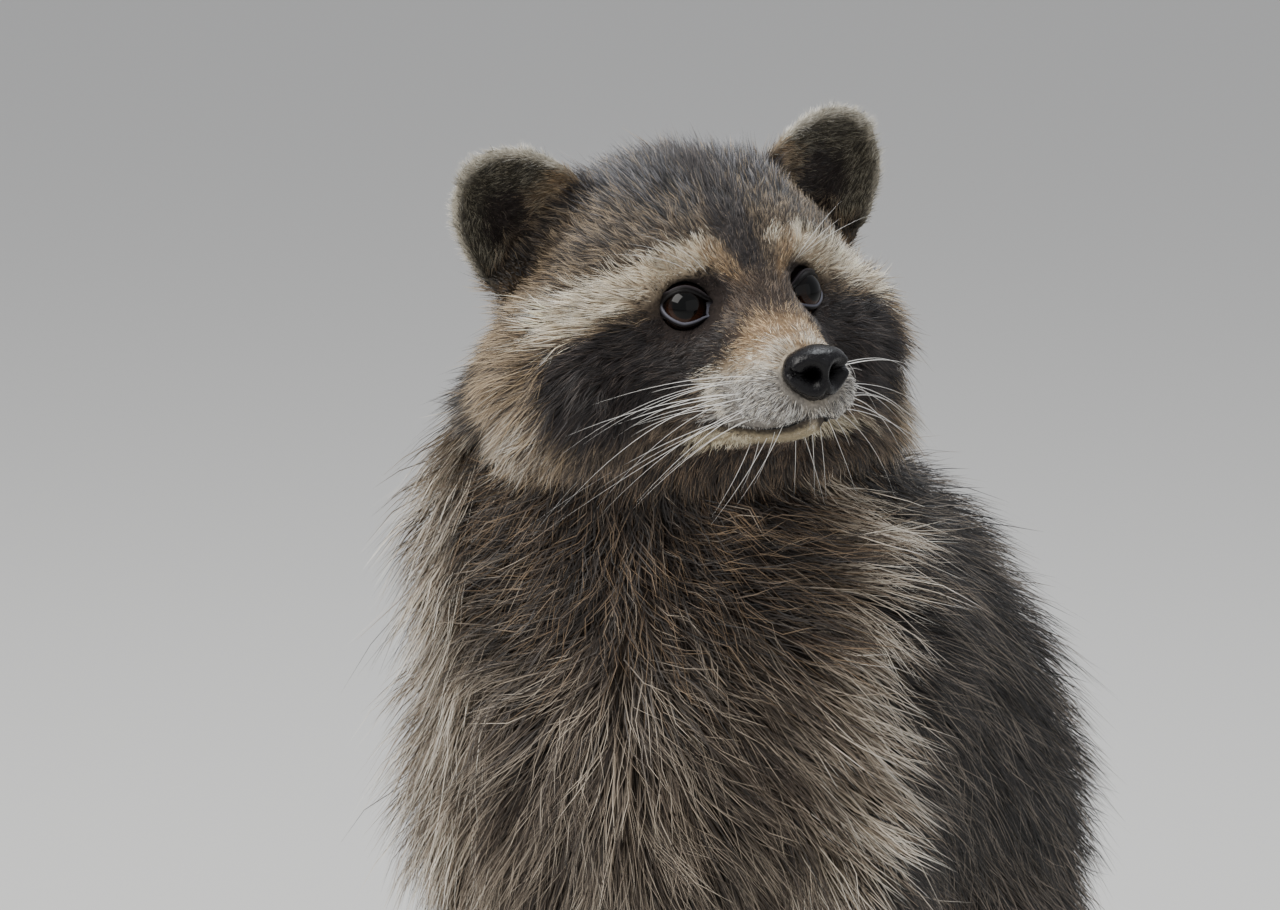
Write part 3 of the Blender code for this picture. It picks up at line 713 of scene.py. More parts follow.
# The lower part of the iris is lighter and shows its streaks: painted light, as if falling from above through
# the cornea.
lit_lower_iris = step(0.35, -0.5, np.sin(tilt) * np.sin(spin))
iris = np.array(IRIS_TINT) * (0.35 + 0.8 * streak * lit_lower_iris)[:, None] * (0.15 + 0.85 * lit_lower_iris)[:, None]
iris = iris * (1 - 0.85 * step(IRIS - 0.20, IRIS, tilt)[:, None])
ball_colour = iris * step(PUPIL - 0.03, PUPIL + 0.03, tilt)[:, None] + 0.0012
ball_colour = ball_colour + (BALL_TINT - ball_colour) * step(IRIS, IRIS + 0.06, tilt)[:, None]
pale_corner = step(1.02, 1.14, tilt) * step(0.75, 0.92, np.cos(spin)) * step(0.35, 0.0, np.sin(spin))
ball_colour = ball_colour + (CORNER_TINT - ball_colour) * pale_corner[:, None]
reach = EYE_RADIUS + 0.45 * MM * (1 - (tilt / math.radians(48)) ** 2).clip(0, 1)
for word, sign in SIDES:
    node = "eye_" + word
    ball = middle(node) + (ball_way(tilt, spin) * reach[:, None]) @ eye_axes(sign) @ head_axes
    faces = outward(ball, grid_faces(BALL_ROWS, BALL_COLUMNS))
    eye = mesh_object("eyeball_" + word, ball, faces, eye_finish, ball_colour)
    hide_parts(node)
    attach(eye, "root")

# ---------------------------------------------------------------- the lids
# Bare dark lid margins, rolled at the edge and moist along the lower one, where a painted reflection of the
# wet rim shows as a pale line that widens into the pale flesh of the inner corner.  They lie on the eyeball
# and run out under the fur.

# For each row of the lids: how far from the slit's edge, and how far out from the ball, in millimetres.
LID_PROFILE = np.array(((0.8, -0.5), (0.25, -0.15), (0.0, 0.10), (0.0, 0.36), (0.2, 0.62), (0.6, 0.82),
                        (1.1, 0.92), (1.5, 0.92), (1.8, 0.90), (2.1, 0.85), (2.4, 0.74), (2.8, 0.50),
                        (3.3, 0.10), (4.2, -0.6)))
lid_finish, shader = new_finish("lid_finish", 0.42, 0.14)
tinted(shader)
noise_bump(shader, 1500, 0.15)

LID_TINT, LID_FOLD_HIGHLIGHT_AND_SKIN_TINT, LID_REFLECTION_AND_FLESH_TINT = (0.006, 0.005, 0.005), (0.030, 0.025, 0.028), (0.130, 0.130, 0.158)
rows = len(LID_PROFILE)
spread_mm, raised = LID_PROFILE[:, :1], LID_PROFILE[:, 1:]
spin = np.linspace(0, 2 * math.pi, 180, endpoint=False)
along, over = np.cos(spin), np.sin(spin)
upper, lower = step(-0.1, 0.5, over), step(0.15, -0.25, over)
inner, corner, outer_corner = step(0.80, 0.97, along), step(0.88, 0.99, along), step(-0.75, -1.0, along)

# The profile is drawn out at both corners.  At the inner one its first two rows run back under the wedge of
# pale flesh that fills the corner.
stretch = 1 + (1.1 * outer_corner + 0.8 * corner - 0.30 * lower) * step(0.3, 1.5, spread_mm)
edge = slit_edge(spin)
lid_tilt = edge + spread_mm * stretch * MM / EYE_RADIUS
wedge = np.arcsin((0.80 / along.clip(0.8, None)).clip(None, 1))
wedge = np.where(along > 0.9, np.minimum(wedge, edge), edge)
tucked = (edge - wedge) / (edge - wedge).max() * np.array((1.0, 0.6) + (0.0,) * (rows - 2))[:, None]
lid_tilt[0] = np.where(tucked[0] > 0, wedge, lid_tilt[0])
lid_tilt[1] = np.where(tucked[1] > 0, 0.5 * wedge + 0.5 * edge, lid_tilt[1])

# A fold runs over the upper lid, behind a shallow groove, and the inner corner stands out a little.
fold = np.exp(-((spread_mm - 2.2) / 0.38) ** 2) * upper
groove = np.exp(-((spread_mm - 1.4) / 0.35) ** 2) * upper
lid_reach = EYE_RADIUS + MM * (raised + 0.45 * fold - 0.22 * groove)
corner_rows = np.array((0.22, 0.5) + (1.0,) * (rows - 2))[:, None]
lid_reach = lid_reach + 1.5 * MM * corner * corner_rows * step(5.5, 2.5, spread_mm)

# Pale along the wet lower rim as a painted reflection, and at the inner corner the real pale flesh of the
# wedge.
rim_reflection_and_flesh = 0.9 * step(0.80, 0.30, spread_mm) * lower + 0.7 * tucked
rim_reflection_and_flesh = rim_reflection_and_flesh + 0.30 * step(1.2, 0.5, spread_mm) * inner * step(0.3, 0.0, over)
# Along the fold over the upper lid this tint is a painted highlight; beyond 1.4 mm it lightens the lid skin
# towards the mask's own colour.
lid_colour = np.array(LID_TINT) + (fold + 0.35 * step(1.4, 2.2, spread_mm))[..., None] * LID_FOLD_HIGHLIGHT_AND_SKIN_TINT
lid_colour = lid_colour + rim_reflection_and_flesh.clip(0, 1)[..., None] * (LID_REFLECTION_AND_FLESH_TINT - lid_colour)
# The rows that sink under the skin and against the ball are darkened, except at the inner corner: painted
# shade in the crevices.
lid_colour = lid_colour * (1 - 0.85 * step(0.05, -0.2, raised) * (1 - corner))[..., None]
for word, sign in SIDES:
    node = "eye_" + word
    local = ball_way(lid_tilt, spin) * lid_reach[..., None]
    lid = middle(node) + local.reshape(-1, 3) @ eye_axes(sign) @ head_axes
    faces = grid_faces(rows, len(spin))
    facing = (vertex_normals(lid, faces) * (lid - middle(node))).sum(1).reshape(rows, -1)
    if facing[rows // 2].sum() < 0:
        faces = faces[:, ::-1]
    lids = mesh_object("lids_" + word, lid, faces, lid_finish, lid_colour.reshape(-1, 3))
    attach(lids, "root")

# ---------------------------------------------------------------- the nose
# A bare pad of black pebbled leather, wide at the top, with comma-shaped nostrils that curl out to the side
# and a groove down the middle.  It is let into the tip of the muzzle.
NOSE_CENTRE, NOSE_RADII = np.array((96.3, 0.0, -24.6)), np.array((10.2, 11.9, 10.6))
PAD_ROWS, PAD_COLUMNS = 110, 140
nose_finish, shader = new_finish("nose_finish", 0.28)
place = beside(shader, "ShaderNodeTexCoord")
cells = beside(shader, "ShaderNodeTexVoronoi", in_scale=1250.0)
grain = beside(shader, "ShaderNodeTexNoise", in_scale=520.0, in_detail=3.0)
pebble = beside(shader, "ShaderNodeMapRange", in_from_min=0.0, in_from_max=0.6, in_to_min=1.0, in_to_max=0.0)
mixed = beside(shader, "ShaderNodeMath", operation="ADD")
bump = beside(shader, "ShaderNodeBump", in_strength=0.7, in_distance=0.13 * MM)
gloss = beside(shader, "ShaderNodeMapRange", in_from_min=0.35, in_from_max=0.7, in_to_min=0.2, in_to_max=0.36)
for source in (cells, grain):
    link(place, "Object", source, "Vector")
link(cells, "Distance", pebble, "Value")
link(pebble, "Result", mixed, 0)
link(grain, "Fac", mixed, 1)
link(mixed, "Value", bump, "Height")
link(bump, "Normal", shader, "Normal")
link(grain, "Fac", gloss, "Value")
link(gloss, "Result", shader, "Roughness")
tint = tinted(shader)
wetness = beside(shader, "ShaderNodeMath", operation="MULTIPLY")
wetness.inputs[1].default_value = 50.0
link(tint, "Color", wetness, 0)
link(wetness, "Value", shader, "Specular IOR Level")


def nose_pad():
    """
    A stretched ball, and how deep each of its places lies, which darkens the nostrils and their slits as
    painted shade.  The nostril, the slit that curls out from it, its rim and the groove down the middle are
    Gaussians of the distance from them, off or on to the radius.
    """
    way = ball_way(*ball_grid(PAD_ROWS, PAD_COLUMNS, 0.004))
    mirrored = np.stack((way[:, 0], abs(way[:, 1]), way[:, 2]), 1)
    hole = unit(np.array((0.82, 0.52, -0.13)))
    outer = unit(np.array((0.26, 0.93, 0.10)))
    gap = np.arccos((mirrored @ hole).clip(-1, 1))
    share = ((mirrored - hole) @ (outer - hole) / ((outer - hole) @ (outer - hole))).clip(0, 1)
    sag = np.array((0.1, 0.0, -0.34)) * (share * (1 - share))[:, None]
    curl = hole + share[:, None] * (outer - hole) + sag
    slit = np.linalg.norm(mirrored - unit(curl), axis=1)
    radius = 1 - 0.62 * np.exp(-(gap / 0.40) ** 3)
    radius -= 0.28 * np.exp(-(slit / 0.13) ** 2) * step(-0.1, 0.3, share)
    radius += 0.090 * np.exp(-((gap - 0.66) / 0.17) ** 2) * step(0.6, 0.0, way[:, 2])
    radius -= 0.050 * np.exp(-(way[:, 1] / 0.07) ** 2) * step(0.35, -0.1, way[:, 2])
    radius -= 0.10 * step(0.55, 1.0, way[:, 2])
    shape = way * radius[:, None] * NOSE_RADII
    shape[:, 1] *= 1 - 0.30 * step(0.0, -1.0, way[:, 2]) + 0.04 * step(0, 0.6, way[:, 2])
    shape[:, 0] += 1.2 * way[:, 2]
    deep = np.exp(-(gap / 0.42) ** 4) + 0.7 * np.exp(-(slit / 0.12) ** 2) * step(-0.1, 0.3, share)
    return NOSE_CENTRE + shape, deep.clip(0, 1)


pad, deep = nose_pad()
# The nostrils and their slits are darkened by their depth: painted shade.
pad_colour = np.array((0.005, 0.0045, 0.0055)) * (1 - 0.9 * deep[:, None])
pad = from_head(pad)
nose = mesh_object("nose_pad", pad, outward(pad, grid_faces(PAD_ROWS, PAD_COLUMNS)), nose_finish, pad_colour)
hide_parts("nose")
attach(nose, "root")

# ---------------------------------------------------------------- the lips
# The black edge of the lips: a thin soft cord of skin from one corner of the mouth, under the nose, to the
# other, half sunk in the skin.
LIP_RADIUS, LIP_SIDES = 0.80, 12


def tube(path, radii, sides, frame_up):
    """Circles of the given radii across a path, each a ring of points at equal angles."""
    along = unit(np.gradient(path, axis=0))
    across = unit(np.cross(along, frame_up))
    over = np.cross(across, along)
    angle = np.linspace(0, 2 * math.pi, sides, endpoint=False)
    circle = across[:, None] * np.cos(angle)[:, None] + over[:, None] * np.sin(angle)[:, None]
    return (path[:, None] + circle * np.asarray(radii)[:, None, None]).reshape(-1, 3)


lip_line = in_head(np.array([skin_tree.find_nearest(Vector(spot))[0] for spot in from_head(lip_path)]))
lip_radii = LIP_RADIUS * np.sin(np.linspace(0.02, math.pi - 0.02, LIP_POINTS)) ** 0.35
lip_points = from_head(tube(evened(lip_line, 4), lip_radii, LIP_SIDES, (0, 0, 1)))
lips = mesh_object("lips", lip_points, outward(lip_points, grid_faces(LIP_POINTS, LIP_SIDES)), lid_finish,
                   np.full((len(lip_points), 3), 0.006))
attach(lips, "root")

# ---------------------------------------------------------------- the claws
# Twenty curved horn claws, dark at the root and paler at the point, one at the tip of each digit.
# For each paw: the lengths of its digits, half its width, its reach, their spread in degrees and their girth.
DIGITS = {"forepaw": ((26, 33, 36, 34, 28), 20.0, 26.0, 24.0, 6.0),
          "hindfoot": ((24, 31, 34, 32, 26), 21.5, 40.0, 18.0, 6.3)}
CLAW_STEPS, CLAW_SIDES = 12, 10
claw_finish, shader = new_finish("claw_finish", 0.32)
tinted(shader)
noise_bump(shader, 700, 0.08)


def claw(tip, aim, girth):
    """A cone about a path that rises from the digit as a sine and drops as a square, with its colours."""
    run = np.linspace(0, 1, CLAW_STEPS)
    rise = girth * 0.34 + 1.4 * np.sin(run * math.pi * 0.85) - (girth * 0.72) * run ** 2
    path = tip + aim * (girth * 0.45 + run * (girth * 0.45 + 8.5))[:, None]
    path[:, 2] = (tip[2] + rise).clip(1.2, None)
    radii = 2.0 * (1 - run ** 1.6 * 0.86)
    radii[-1] = 0.12
    shade = 0.035 + 0.10 * run ** 2
    colours = np.repeat(np.stack((shade, shade * 0.82, shade * 0.66), 1), CLAW_SIDES, axis=0)
    return tube(path, radii, CLAW_SIDES, (0, 0, 1)) * MM + body_origin, colours


claw_points, claw_faces, claw_colours = [], [], []
for paw, (lengths, half_width, palm_reach, spread, girth) in DIGITS.items():
    for word, sign in SIDES:
        low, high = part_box(paw + "_" + word)
        base = in_body(np.array([(low + high) / 2]))[0]
        base[1] = in_body(np.array([high]))[0, 1] - palm_reach
        for share, length in zip((-1, -0.5, 0, 0.5, 1), lengths):
            angle = math.radians(spread) * share * sign
            aim = np.array((math.sin(angle), -math.cos(angle), 0))
            tip = base + (share * sign * half_width * 0.78, -palm_reach * 0.60, 0) + aim * length
            tip[2] = girth * 0.8
            rings, colours = claw(tip, aim, girth)
            faces = outward(rings, grid_faces(CLAW_STEPS, CLAW_SIDES))
            claw_faces.append(faces + len(claw_points) * len(rings))
            claw_points.append(rings)
            claw_colours.append(colours)
claws = mesh_object("claws", np.concatenate(claw_points), np.concatenate(claw_faces), claw_finish,
                    np.concatenate(claw_colours))
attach(claws, "root")

# ---------------------------------------------------------------- the whiskers
# Long white whiskers in four rows on each side of the muzzle, swept back and down, a few on the chin and over
# the eyes.  Each is a thin three-sided hair, drawn to a point.
WHISKER_STEPS, WHISKER_SIDES = 15, 3
whisker_finish, shader = new_finish("whisker_finish", 0.38, 0.6)
noise_bump(shader, 500, 0.02)
shader.inputs["Base Color"].default_value = (0.86, 0.84, 0.80, 1)
random = np.random.default_rng(11)


def whisker(root, way, droop, length, girth):
    """A three-sided hair: root + way t + droop t2, all times its length, thinner to the tip."""
    run = np.linspace(0, 1, WHISKER_STEPS)[:, None]
    path = np.asarray(root) + length * (unit(np.asarray(way, float)) * run + np.asarray(droop) * run ** 2)
    return tube(path, girth * (1 - run[:, 0] ** 1.3 * 0.93), WHISKER_SIDES, (0.1, 0.2, 1.0))


hairs = []
for _, sign in SIDES:
    for row in range(4):
        for k in range(5):
            forward = 84 - 6.0 * k - 2.0 * row + random.normal(0, 1.4)
            up = -26 - 4.4 * row - 0.4 * k + random.normal(0, 0.8)
            root = on_skin((forward, 60 * sign, up), (0, -sign, 0))
            if root is None:
                continue
            way = (-0.30 - 0.17 * k + random.normal(0, 0.16), sign * (1.0 + random.normal(0, 0.14)),
                   0.12 - 0.15 * row + random.normal(0, 0.13))
            droop = (-0.34 + random.normal(0, 0.10), -0.04 * sign, -0.30 + random.normal(0, 0.13))
            long = (50 + 6.0 * k) * random.uniform(0.70, 1.18)
            hairs.append(whisker(root, way, droop, long, random.uniform(0.11, 0.19)))
    for k in range(5):
        root = on_skin((84 - 7 * k, 9 * sign, -80), (0, 0, 1))
        if root is not None:
            way = (-0.2 + random.normal(0, 0.3), sign * (0.35 + random.normal(0, 0.25)), -1)
            hairs.append(whisker(root, way, (-0.25, 0.08 * sign, -0.05), random.uniform(16, 34), 0.12))
    for k in range(3):
        root = on_skin((60, (17 + 3 * k) * sign, 12 + k), (-1, 0, 0))
        if root is not None:
            way = (0.25, 0.6 * sign, 0.8 - 0.2 * k)
            hairs.append(whisker(root, way, (-0.5, 0.2 * sign, -0.2), random.uniform(24, 34), 0.10))
faces = grid_faces(WHISKER_STEPS, WHISKER_SIDES)
whisker_points = from_head(np.concatenate(hairs))
whisker_faces = np.concatenate([faces + k * WHISKER_STEPS * WHISKER_SIDES for k in range(len(hairs))])
whiskers = mesh_object("whiskers", whisker_points, whisker_faces, whisker_finish)
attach(whiskers, "root")

# ---------------------------------------------------------------- the lie of the coat
# Hair lies back from the nose over the face and parts round the eyes, runs down the throat, outwards over the
# ruff and chest, down the flanks and legs, forward on the paws and along the tail to its tip.


def lie_of(points, normals):
    """Which way the hair lies at each place: simple directions, blended, and laid flat on the skin."""
    head, body = in_head(points), in_body(points)
    forward, side, up = head.T
    x, y, z = body.T
    way = unit(head - (104, 0, -20))
    droop = step(30, 58, abs(side)) * step(25, -25, up) * 0.65 + step(-30, -48, up) * 0.5
    way = way - np.stack((0 * up, 0 * up, droop), 1)
    for sign in (1, -1):
        from_eye = head - EYE_AT * (1, sign, 1)
        gap = np.linalg.norm(from_eye, axis=1, keepdims=True)
        way = way + 1.5 * step(25, 9, gap) * from_eye / gap
    head_way = unit(way) @ head_axes

    turn = round_chest(body)
    out = unit(np.stack((x - CHEST_SIDE, y - CHEST_BACK), 1))
    parting = np.tanh((x - CHEST_SIDE) / 24)
    around = np.stack((-out[:, 1] * parting, out[:, 0] * parting * np.sign(x - CHEST_SIDE), 0 * x), 1)
    down, back = np.array((0, 0, -1.0)), np.array((0, 1.0, 0))
    front = (step(88, 60, turn) * step(30, -20, y) * step(95, 150, z))[:, None]
    spread = (0.45 + 0.85 * step(120, 290, z))[:, None]
    fall = (1.0 - 0.72 * step(190, 305, z) * step(8, 40, abs(x - CHEST_SIDE)))[:, None]
    chest_way = around * spread + down * fall
    flank_way = down * 0.85 + back * 0.5
    body_way = flank_way + (chest_way - flank_way) * front
    legs = (step(130, 100, z) * step(-25, -45, y))[:, None]
    body_way = body_way + (down - back * 0.05 - body_way) * legs
    feet = (step(36, 24, z) * step(95, 75, y))[:, None]
    body_way = body_way + (-back - 0.25 * down - body_way) * feet
    _, away, along_tail = on_tail(body)
    tail = (step(190, 208, y) * step(90, 70, away))[:, None]
    body_way = body_way + (along_tail - body_way) * tail
    high = step(-18, 8, above_neck(head))[:, None]
    way = head_way * high + unit(body_way) * (1 - high)
    way = way - (way * normals).sum(1, keepdims=True) * normals
    return unit(way + 1e-6 * down)


CELL = 7 * MM
field_low = skin_points.min(0) - 5 * CELL
field_size = np.ceil((skin_points.max(0) + 5 * CELL - field_low) / CELL).astype(int) + 1


def field_of(values):
    """Means of the values at the skin's points in each cell of a lattice, spread to the cells round them."""
    cell = np.ravel_multi_index(np.round((skin_points - field_low) / CELL).astype(int).T, field_size)
    count = np.bincount(cell, minlength=field_size.prod()).reshape(*field_size, 1).astype(float)
    total = summed(cell, values, field_size.prod()).reshape(*field_size, -1)
    for _ in range(6):
        spread_count, spread_total = count.copy(), total.copy()
        for axis in range(3):
            for move in (1, -1):
                spread_count += 0.3 * np.roll(count, move, axis)
                spread_total += 0.3 * np.roll(total, move, axis)
        count, total = spread_count, spread_total
    return total / count.clip(1e-9)


def read_field(field, points):
    """The field between its cells, by the eight nearest of them."""
    place = ((points - field_low) / CELL).clip(0, np.array(field_size) - 1.001)
    corner = place.astype(int)
    rest = place - corner
    found = 0
    for i in (0, 1):
        for j in (0, 1):
            for k in (0, 1):
                weight = abs(1 - i - rest[:, 0]) * abs(1 - j - rest[:, 1]) * abs(1 - k - rest[:, 2])
                found = found + field[corner[:, 0] + i, corner[:, 1] + j, corner[:, 2] + k] * weight[:, None]
    return found


skin_lie = lie_of(skin_points, skin_normals)
normal_field, lie_field = field_of(skin_normals), field_of(skin_lie)

# ---------------------------------------------------------------- the coat
# Thin flat tufts of hair, each a narrow ribbon drawn to a point, rooted just under the skin.  They bend with
# the body, gather into locks at their tips, and are banded dark, brown and pale as real hair is; the dark
# roots are also painted shade deep in the coat.


def scattered(weights, count, seed):
    """Roots: triangles picked by area times weight, a random place in each, and the values there."""
    random = np.random.default_rng(seed)
    area = np.linalg.norm(face_normals(skin_points, skin_faces), axis=1) * weights[skin_faces].mean(1)
    sums = np.cumsum(area)
    chosen = skin_faces[np.searchsorted(sums, random.random(count) * sums[-1]).clip(0, len(skin_faces) - 1)]
    u, v = random.random((2, count))
    over = u + v > 1
    u, v = np.where(over, 1 - u, u)[:, None], np.where(over, 1 - v, v)[:, None]

    def mix(values):
        return values[chosen[:, 0]] * (1 - u - v) + values[chosen[:, 1]] * u + values[chosen[:, 2]] * v

    deep = mix(depth[:, None])[:, 0] / MM
    return mix(skin_points), unit(mix(skin_normals)), unit(mix(skin_lie)), deep, random


def locks_of(points, size, seed):
    """For each root the number of its lock: the nearest of the jittered lattice places round it."""
    random = np.random.default_rng(seed)
    shifts = random.random((64, 64, 64, 3))
    base = np.floor(points / size).astype(int)
    best, chosen = np.full(len(points), 1e9), np.zeros(len(points), int)
    for i in (-1, 0, 1):
        for j in (-1, 0, 1):
            for k in (-1, 0, 1):
                cell = base + (i, j, k)
                wrapped = cell % 64
                spot = (cell + shifts[wrapped[:, 0], wrapped[:, 1], wrapped[:, 2]]) * size
                away = ((points - spot) ** 2).sum(1)
                nearer = away < best
                best = np.where(nearer, away, best)
                chosen = np.where(nearer, np.ravel_multi_index((cell % 1024).T, (1024, 1024, 1024)), chosen)
    return np.unique(chosen, return_inverse=True)[1]


def tufts(roots, normals, lie, length, width, lift, flop, pull, curl, lock, bands, random, guided):
    """
    Ribbons along the hair.  Each takes equal steps from its root.  A step goes along the lie of the coat,
    raised by the lift, which sinks by the flop towards the tip, and swung aside by the curl.  Where guided,
    the lie and the skin's normal are read from the fields again after each step.  Then the ribbon is drawn
    in, by the pull times t to the power 1.5, to the middle of its lock.
    """
    count = len(roots)
    locks = lock.max() + 1
    places = np.bincount(lock, minlength=locks).clip(1)[:, None]
    centre = (summed(lock, roots, locks) / places)[lock] - roots
    centre -= (centre * normals).sum(1, keepdims=True) * normals
    lock_turn, lock_lift, lock_long = random.normal(0, 1, (3, locks))
    turned = 0.20 * lock_turn[lock] + 0.13 * random.normal(0, 1, count)
    raised = lift * (1 + 0.20 * lock_lift[lock] + 0.22 * random.normal(0, 1, count)).clip(0.25, 1.45)
    long = length * MM * (1 + 0.10 * lock_long[lock] + 0.14 * random.normal(0, 1, count)).clip(0.45, 1.3)
    swing = random.uniform(0, 2 * math.pi, count)
    point, normal, way = roots - normals * 0.5 * MM, normals, lie
    spine, tangents, overs = [point], [], []
    for k in range(bands):
        run = (k + 0.5) / bands
        side = np.cross(normal, way)
        angle = (turned * (0.4 + run))[:, None]
        flat = way * np.cos(angle) + side * np.sin(angle)
        height = (raised * (1 - flop * run))[:, None]
        tangent = flat * np.cos(height) + normal * np.sin(height)
        wave = curl * np.cos(swing + run * 5.0)
        tangent = unit(tangent + side * wave[:, None])
        point = point + tangent * (long / bands)[:, None]
        spine.append(point)
        tangents.append(tangent)
        overs.append(normal)
        if guided:
            normal = unit(normal * 0.4 + 0.6 * unit(read_field(normal_field, point)))
            way = 0.35 * way + 0.65 * read_field(lie_field, point)
            way = unit(way - (way * normal).sum(1, keepdims=True) * normal)
    spine, tangents, overs = np.stack(spine, 1), np.stack(tangents, 1), np.stack(overs, 1)
    share = (np.arange(bands + 1) / bands) ** 1.5
    spine = spine + centre[:, None] * (pull * share)[..., None]
    spine[..., 2] = spine[..., 2].clip(1.2 * MM, None)
    roll = random.uniform(-0.9, 0.9, count)[:, None, None]
    side = unit(np.cross(tangents, overs))
    side = side * np.cos(roll) + np.cross(tangents, side) * np.sin(roll)
    narrow = (1 - np.arange(bands) / bands) ** 0.6
    half = (width * MM * (0.75 + 0.5 * random.random(count)))[:, None, None] * narrow[:, None]
    left, right = spine[:, :-1] - side * half, spine[:, :-1] + side * half
    points = np.concatenate((np.stack((left, right), 2).reshape(count, -1, 3), spine[:, -1:]), 1)
    points[..., 2] = points[..., 2].clip(0.6 * MM, None)
    return points


def ribbon_faces(bands):
    """The triangles of one ribbon: two for each step and one at the tip."""
    faces = []
    for k in range(bands - 1):
        a = 2 * k
        faces += [(a, a + 1, a + 3), (a, a + 3, a + 2)]
    return np.array(faces + [(2 * bands - 2, 2 * bands - 1, 2 * bands)])


PATCH, MOST_TRIANGLES = 0.003, 190000            # a tuft's patch of the unwrap, and the most for one piece
hair_finish, shader = new_finish("hair_finish", 0.48, 0.45)
tinted(shader)
noise_bump(shader, 2600, 0.05, 2.0)


def unwrapped(points, part):
    """The root's place on an unwrap of the skin's shape: by angles about the middle of its part."""
    head, body = in_head(points), in_body(points)
    if part == "face_coat":
        offset = head - (15, 0, -20)
        u = np.arctan2(offset[:, 1], offset[:, 0]) / (2 * math.pi) + 0.5
        v = np.arctan2(offset[:, 2], np.hypot(offset[:, 0], offset[:, 1])) / math.pi + 0.5
    elif part == "tail_coat":
        along, _, direction = on_tail(body)
        across = unit(np.cross(direction, (0, 0, 1.0)))
        over = np.cross(across, direction)
        offset = body - on_line(tail_line, run_along(tail_line), along)
        u = np.arctan2((offset * over).sum(1), (offset * across).sum(1)) / (2 * math.pi) + 0.5
        v = along / along.max()
    else:
        u = np.arctan2(body[:, 0], -(body[:, 1] - 5)) / (2 * math.pi) + 0.5
        v = body[:, 2] / 330
    return np.stack((u, v), 1).clip(0, 1) * 0.992 + 0.003


def coat_piece(name, part, points, stops, places, bands):
    """One joined mesh of ribbons, coloured from root to tip, with each ribbon a small patch of the unwrap."""
    count, rings = len(points), 2 * bands + 1
    faces = (ribbon_faces(bands)[None] + np.arange(count)[:, None, None] * rings).reshape(-1, 3)
    run = np.append(np.repeat(np.arange(bands) / bands, 2), 1.0)
    low, high = (run / 0.5).clip(0, 1)[:, None], ((run - 0.5) / 0.5).clip(0, 1)[:, None]
    # Root, middle and tip colours along each ribbon; the darker roots are partly painted shade deep in the
    # coat.
    colours = stops[:, None, 0] + (stops[:, None, 1] - stops[:, None, 0]) * low
    colours = colours + (stops[:, None, 2] - stops[:, None, 1]) * high
    item = mesh_object(name, points.reshape(-1, 3), faces, hair_finish, colours.reshape(-1, 3).clip(0, 1))
    corner = np.stack((np.append(np.tile((-1.0, 1.0), bands), 0), run * 2 - 1), 1) * PATCH / 2
    layer = item.data.uv_layers.new(name="OFBake")
    at = (places[:, None] + corner[None]).reshape(-1, 2)
    layer.data.foreach_set("uv", at[faces.ravel()].astype(np.float32).ravel())
    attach(item, "root")


def near_eyes(points):
    """
    Distance in millimetres from the nearer eyeball's middle, the angle outside the lids' opening, and 1 over
    the upper lid.
    """
    gap, clear, over = np.full(len(points), 1e3), np.full(len(points), 9.0), np.zeros(len(points))
    for word, sign in SIDES:
        distance, tilt, angle = round_eye(points, "eye_" + word, sign)
        nearer = distance / MM < gap
        gap = np.where(nearer, distance / MM, gap)
        clear = np.where(nearer, tilt - slit_edge(angle), clear)
        over = np.where(nearer, step(0.0, 0.5, np.sin(angle)), over)
    return gap, clear, over


skin_head, skin_body = in_head(skin_points), in_body(skin_points)
eye_gap, eye_clear, eye_over = near_eyes(skin_points)
bare = step(20, 15, eye_gap) * step(0.07, 0.0, eye_clear - 0.13 - 0.10 * eye_over)
bare = np.maximum(bare, step(1.12, 1.02, np.linalg.norm((skin_head - NOSE_CENTRE) / NOSE_RADII, axis=1)))
bare = np.maximum(bare, step(2.5, 1.0, skin_body[:, 2]))
bare = np.maximum(bare, 0.9 * step(2.0, 1.2, off_mouth(skin_head)[1]))
on_head = step(-14, 4, above_neck(skin_head)) * (1 - bare) * (1 - 0.35 * ear_share(skin_head))
on_tail_skin = step(196, 204, skin_body[:, 1]) * step(90, 80, on_tail(skin_body)[1])
on_body = step(4, -14, above_neck(skin_head)) * (1 - on_tail_skin) * (1 - bare)
depth_mm = depth / MM
COATS = (
    # part, where, how much hair a place has, roots, segments, lock size in mm, seed
    ("face_coat", on_head, 1 / (depth_mm.clip(None, 6.5) + 1.0), 190000, 2, 4.5, 1),
    ("coat", on_body, 1 / (depth_mm + 3.0) * (1 + 0.9 * step(30, -30, skin_body[:, 1])), 150000, 3, 11.0, 2),
    ("tail_coat", on_tail_skin, np.ones(len(depth)), 16000, 3, 11.0, 3),
)
